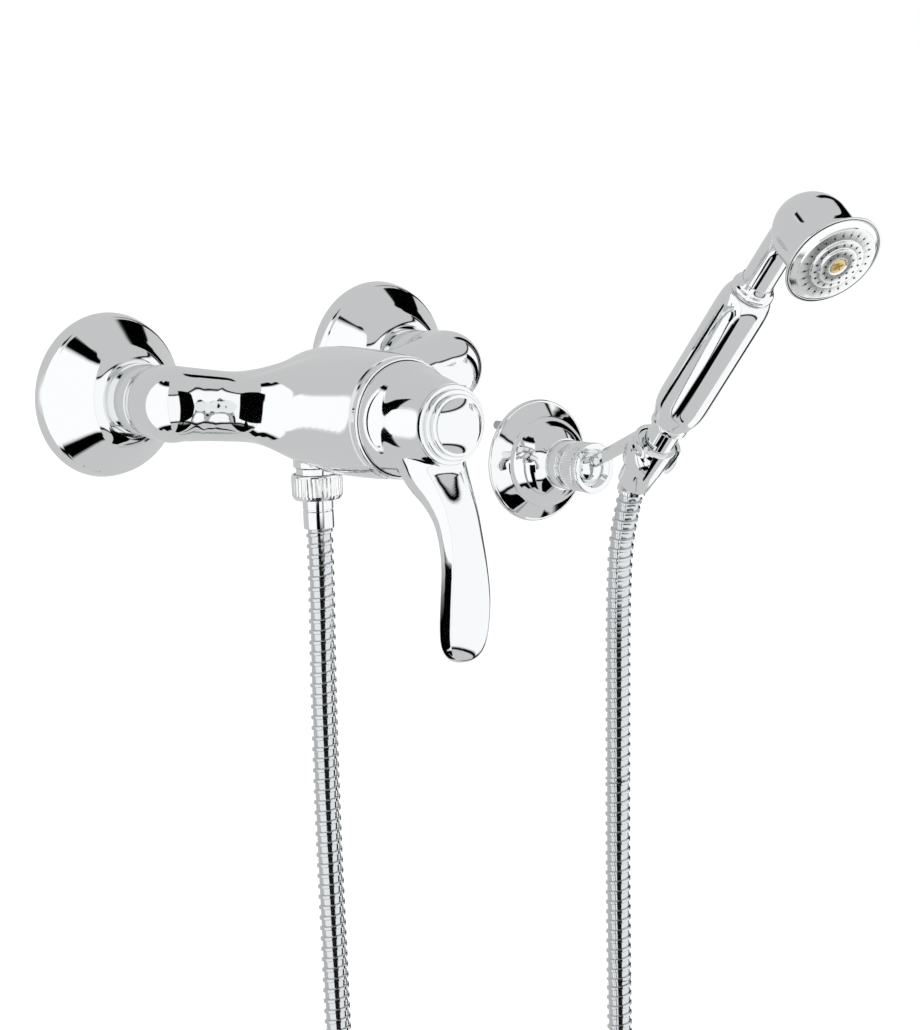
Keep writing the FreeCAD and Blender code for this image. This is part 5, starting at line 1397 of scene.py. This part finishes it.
@dataclass
class HandShower:
    """Hand shower: cone nut, tail, handle, collar, neck, round head and spray plate."""

    turn: float = 7.0
    head_along: float = 137.4
    head_aside: float = 12.3
    head_r: float = 18.1
    lift: float = 5.7
    face: float = 19.7
    face_r: float = 23.9
    neck_sections: tuple[Triple, ...] = (
        (83.4, 0.0, 7.7), (104.0, 0.0, 7.7), (116.0, 0.1, 7.75), (124.0, 1.1, 8.3), (130.5, 2.7, 8.9),
        (137.0, 4.6, 8.2))
    rings: tuple[tuple[float, int], ...] = ((7.2, 12), (11.3, 18), (16.2, 24))
    hole_r: float = 0.55

    def placed(self) -> Matrix:
        """Lean the upright hand shower, facing out, into its place in the cradle.

        Returns:
            The matrix that does so.
        """
        lean = Matrix.Rotation(math.radians(HAND_LEAN), 4, "X")
        turn = Matrix.Rotation(math.radians(-self.turn), 4, "Z")
        return Matrix.Translation(HAND_FOOT) @ lean @ turn

    def head_line(self) -> tuple[Vector, Vector]:
        """Place the head in the upright hand shower.

        Returns:
            The centre of its round back and the way of the spray.
        """
        lift = math.radians(self.lift)
        centre = Vector((0.0, -self.head_aside, self.head_along))
        return centre, Vector((0.0, -math.cos(lift), math.sin(lift)))

    def handle(self) -> None:
        """Make the turned pieces of the handle, from the cone nut to the collar."""
        cone = Outline().line((5.7, -42.6), (8.2, -42.6, 0.7), (9.0, -30.8), (9.0, -30.0), (9.05, -30.0),
                              (9.26, -29.8), (9.7, -15.2, 0.7), (6.7, -15.2), (6.7, -40.2), (5.7, -40.2))
        piece("cone_nut_turned", turned(cone, HAND_FOOT, HAND_AXIS, 128), CHROME, Body.CONE, "cone_nut")
        tail = Outline().line((3.9, -26.0), (6.5, -26.0), (6.5, -14.9), (7.5, -14.0), (7.5, -2.4),
                              (9.25, -2.4, 0.6), (9.25, 0.9, 0.6), (7.7, 0.9), (7.7, 6.0), (5.3, 6.0),
                              (5.3, 2.0), (3.9, 2.0))
        piece("tail_fitting", turned(tail, HAND_FOOT, HAND_AXIS), CHROME, Body.HANDSET, "handset_tail")
        sleeve = Outline([(7.9, 1.0), (9.2, 1.0), (9.5, 1.3)])
        sleeve.curve((9.8, 3.2), (10.8, 6.0), (11.7, 9.2), (12.15, 13.5), (12.25, 20.0), steps=6)
        sleeve.line((12.25, 75.0)).curve((11.9, 80.4), (11.1, 84.0), (10.1, 85.9), (9.6, 86.2), steps=6)
        sleeve.line((8.3, 86.2), (8.3, 84.0)).curve((10.3, 78.8), (10.65, 75.0), steps=3)
        sleeve.line((10.65, 20.0)).curve((10.1, 9.2), (7.9, 3.2), steps=3)
        mesh = turned(sleeve, HAND_FOOT, HAND_AXIS, 128)
        piece("handle_sleeve", mesh, CHROME, Body.HANDSET, "handset_handle")
        ring = Outline([(7.75, 86.4), (9.1, 86.4)])
        ring.curve((9.9, 87.2), (10.3, 88.6), (10.0, 90.0), (9.3, 90.8), (8.7, 91.6), (8.2, 94.2), steps=6)
        ring.line((7.75, 94.3))
        piece("neck_ring", turned(ring, HAND_FOOT, HAND_AXIS, 128), CHROME, Body.HANDSET, "handset_collar")

    def head(self) -> None:
        """Make the neck and the hollow head."""
        centre, way = self.head_line()
        cup = Outline().arc((0.0, 0.0), self.head_r, -90.0, 0.0, 40)
        cup.curve((18.25, 7.9), (18.7, 12.6), (19.8, 15.8), (21.5, 17.8), (23.4, 18.7), steps=6)
        cup.line((self.face_r, 18.9, 0.3), (self.face_r, self.face, 0.3), (22.3, self.face, 0.2), (22.3, 18.7),
                 (19.5, 18.7), (16.3, 18.7), (16.3, 0.0))
        cup.arc((0.0, 0.0), 16.3, 0.0, -90.0, 16)
        shell = turned(cup, centre, way, 144)
        rows = [(0.0, -aside, height, radius, radius) for height, aside, radius in self.neck_sections]
        neck = lofted(rows, ACROSS, 8, 96)
        whole = joined([shell, neck])
        bmesh.ops.transform(whole, matrix=self.placed(), verts=whole.verts)
        piece("head_shell", whole, CHROME, Body.HANDSET, "handset_head")

    def holes(self) -> bmesh.types.BMesh:
        """Set out the drills of the spray plate's rings of holes.

        Returns:
            One mesh of all the drills, in the upright hand shower.
        """
        centre, way = self.head_line()
        drills = bmesh.new()
        for radius, count in self.rings:
            for number in range(count):
                turn = Matrix.Rotation(math.tau * number / count, 4, "Z")
                spot = turn @ Matrix.Translation((radius, 0.0, self.face + 2.0))
                bmesh.ops.create_cone(drills, cap_ends=True, segments=14, radius1=self.hole_r,
                                      radius2=self.hole_r, depth=6.0, matrix=laid(centre, way) @ spot)
        return drills

    def spray(self) -> None:
        """Make the drilled spray plate and its brass screw."""
        centre, way = self.head_line()
        f = self.face
        plate = Outline([(2.3, f + 2.75), (8.6, f + 2.75), (8.8, f + 1.9), (12.2, f + 1.8), (12.4, f + 0.8),
                         (17.0, f + 0.7), (17.2, f - 0.95), (22.1, f - 0.95), (22.1, f - 0.4), (21.6, f + 0.1)])
        plate.curve((20.6, f + 0.8), (19.7, f + 1.4), steps=4)
        plate.line((19.4, f + 2.3, 0.3), (13.2, f + 2.35), (13.0, f + 3.3, 0.3), (9.6, f + 3.35),
                   (9.4, f + 4.3, 0.3), (4.5, f + 4.35, 0.3), (3.8, f + 3.4), (2.3, f + 3.4))
        mesh = carved(turned(plate, centre, way, 144), self.holes())
        bmesh.ops.transform(mesh, matrix=self.placed(), verts=mesh.verts)
        piece("spray_face", mesh, SATIN_CHROME, Body.HANDSET, "spray_plate")
        head = Outline([(0.0, f - 10.0), (2.0, f - 10.0), (2.0, f + 3.45), (3.6, f + 3.45), (3.6, f + 3.9)])
        head.curve((2.6, f + 4.3), (0.0, f + 4.5), steps=5)
        screw = turned(head, centre, way, 48)
        for turn in (35.0, 125.0):
            place = laid(centre, way) @ Matrix.Rotation(math.radians(turn), 4, "Z")
            slot = block(place, (0.0, 0.0, f + 4.4), (4.6, 0.8, 1.5))
            screw = carved(screw, slot)
        bmesh.ops.transform(screw, matrix=self.placed(), verts=screw.verts)
        piece("rose_screw_head", screw, BRASS, Body.HANDSET, "rose_screw")

    def build(self) -> None:
        """Make the whole hand shower."""
        self.handle()
        self.head()
        self.spray()


def dress_frame() -> None:
    """Give every CAD node that still shows its material."""
    for finish, names in FINISHED_NODES.items():
        for name in names:
            data = frame["nodes"][name].data
            data.materials.clear()
            data.materials.append(finish.material())
            for polygon in data.polygons:
                polygon.material_index = 0


def main() -> None:
    """Build the studio, then the object from the hose inwards."""
    for leftover in [o for o in bpy.data.objects if o.type in {"CAMERA", "LIGHT"} or o.name == "Cube"]:
        bpy.data.objects.remove(leftover)
    Studio().build()
    Hose().build()
    WallUnion(-1, "left").build()
    WallUnion(1, "right").build()
    MixerBody().build()
    Lever().build()
    Outlet().build()
    WallHolder().build()
    HandShower().build()
    dress_frame()
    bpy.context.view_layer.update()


if __name__ == "__main__":
    main()
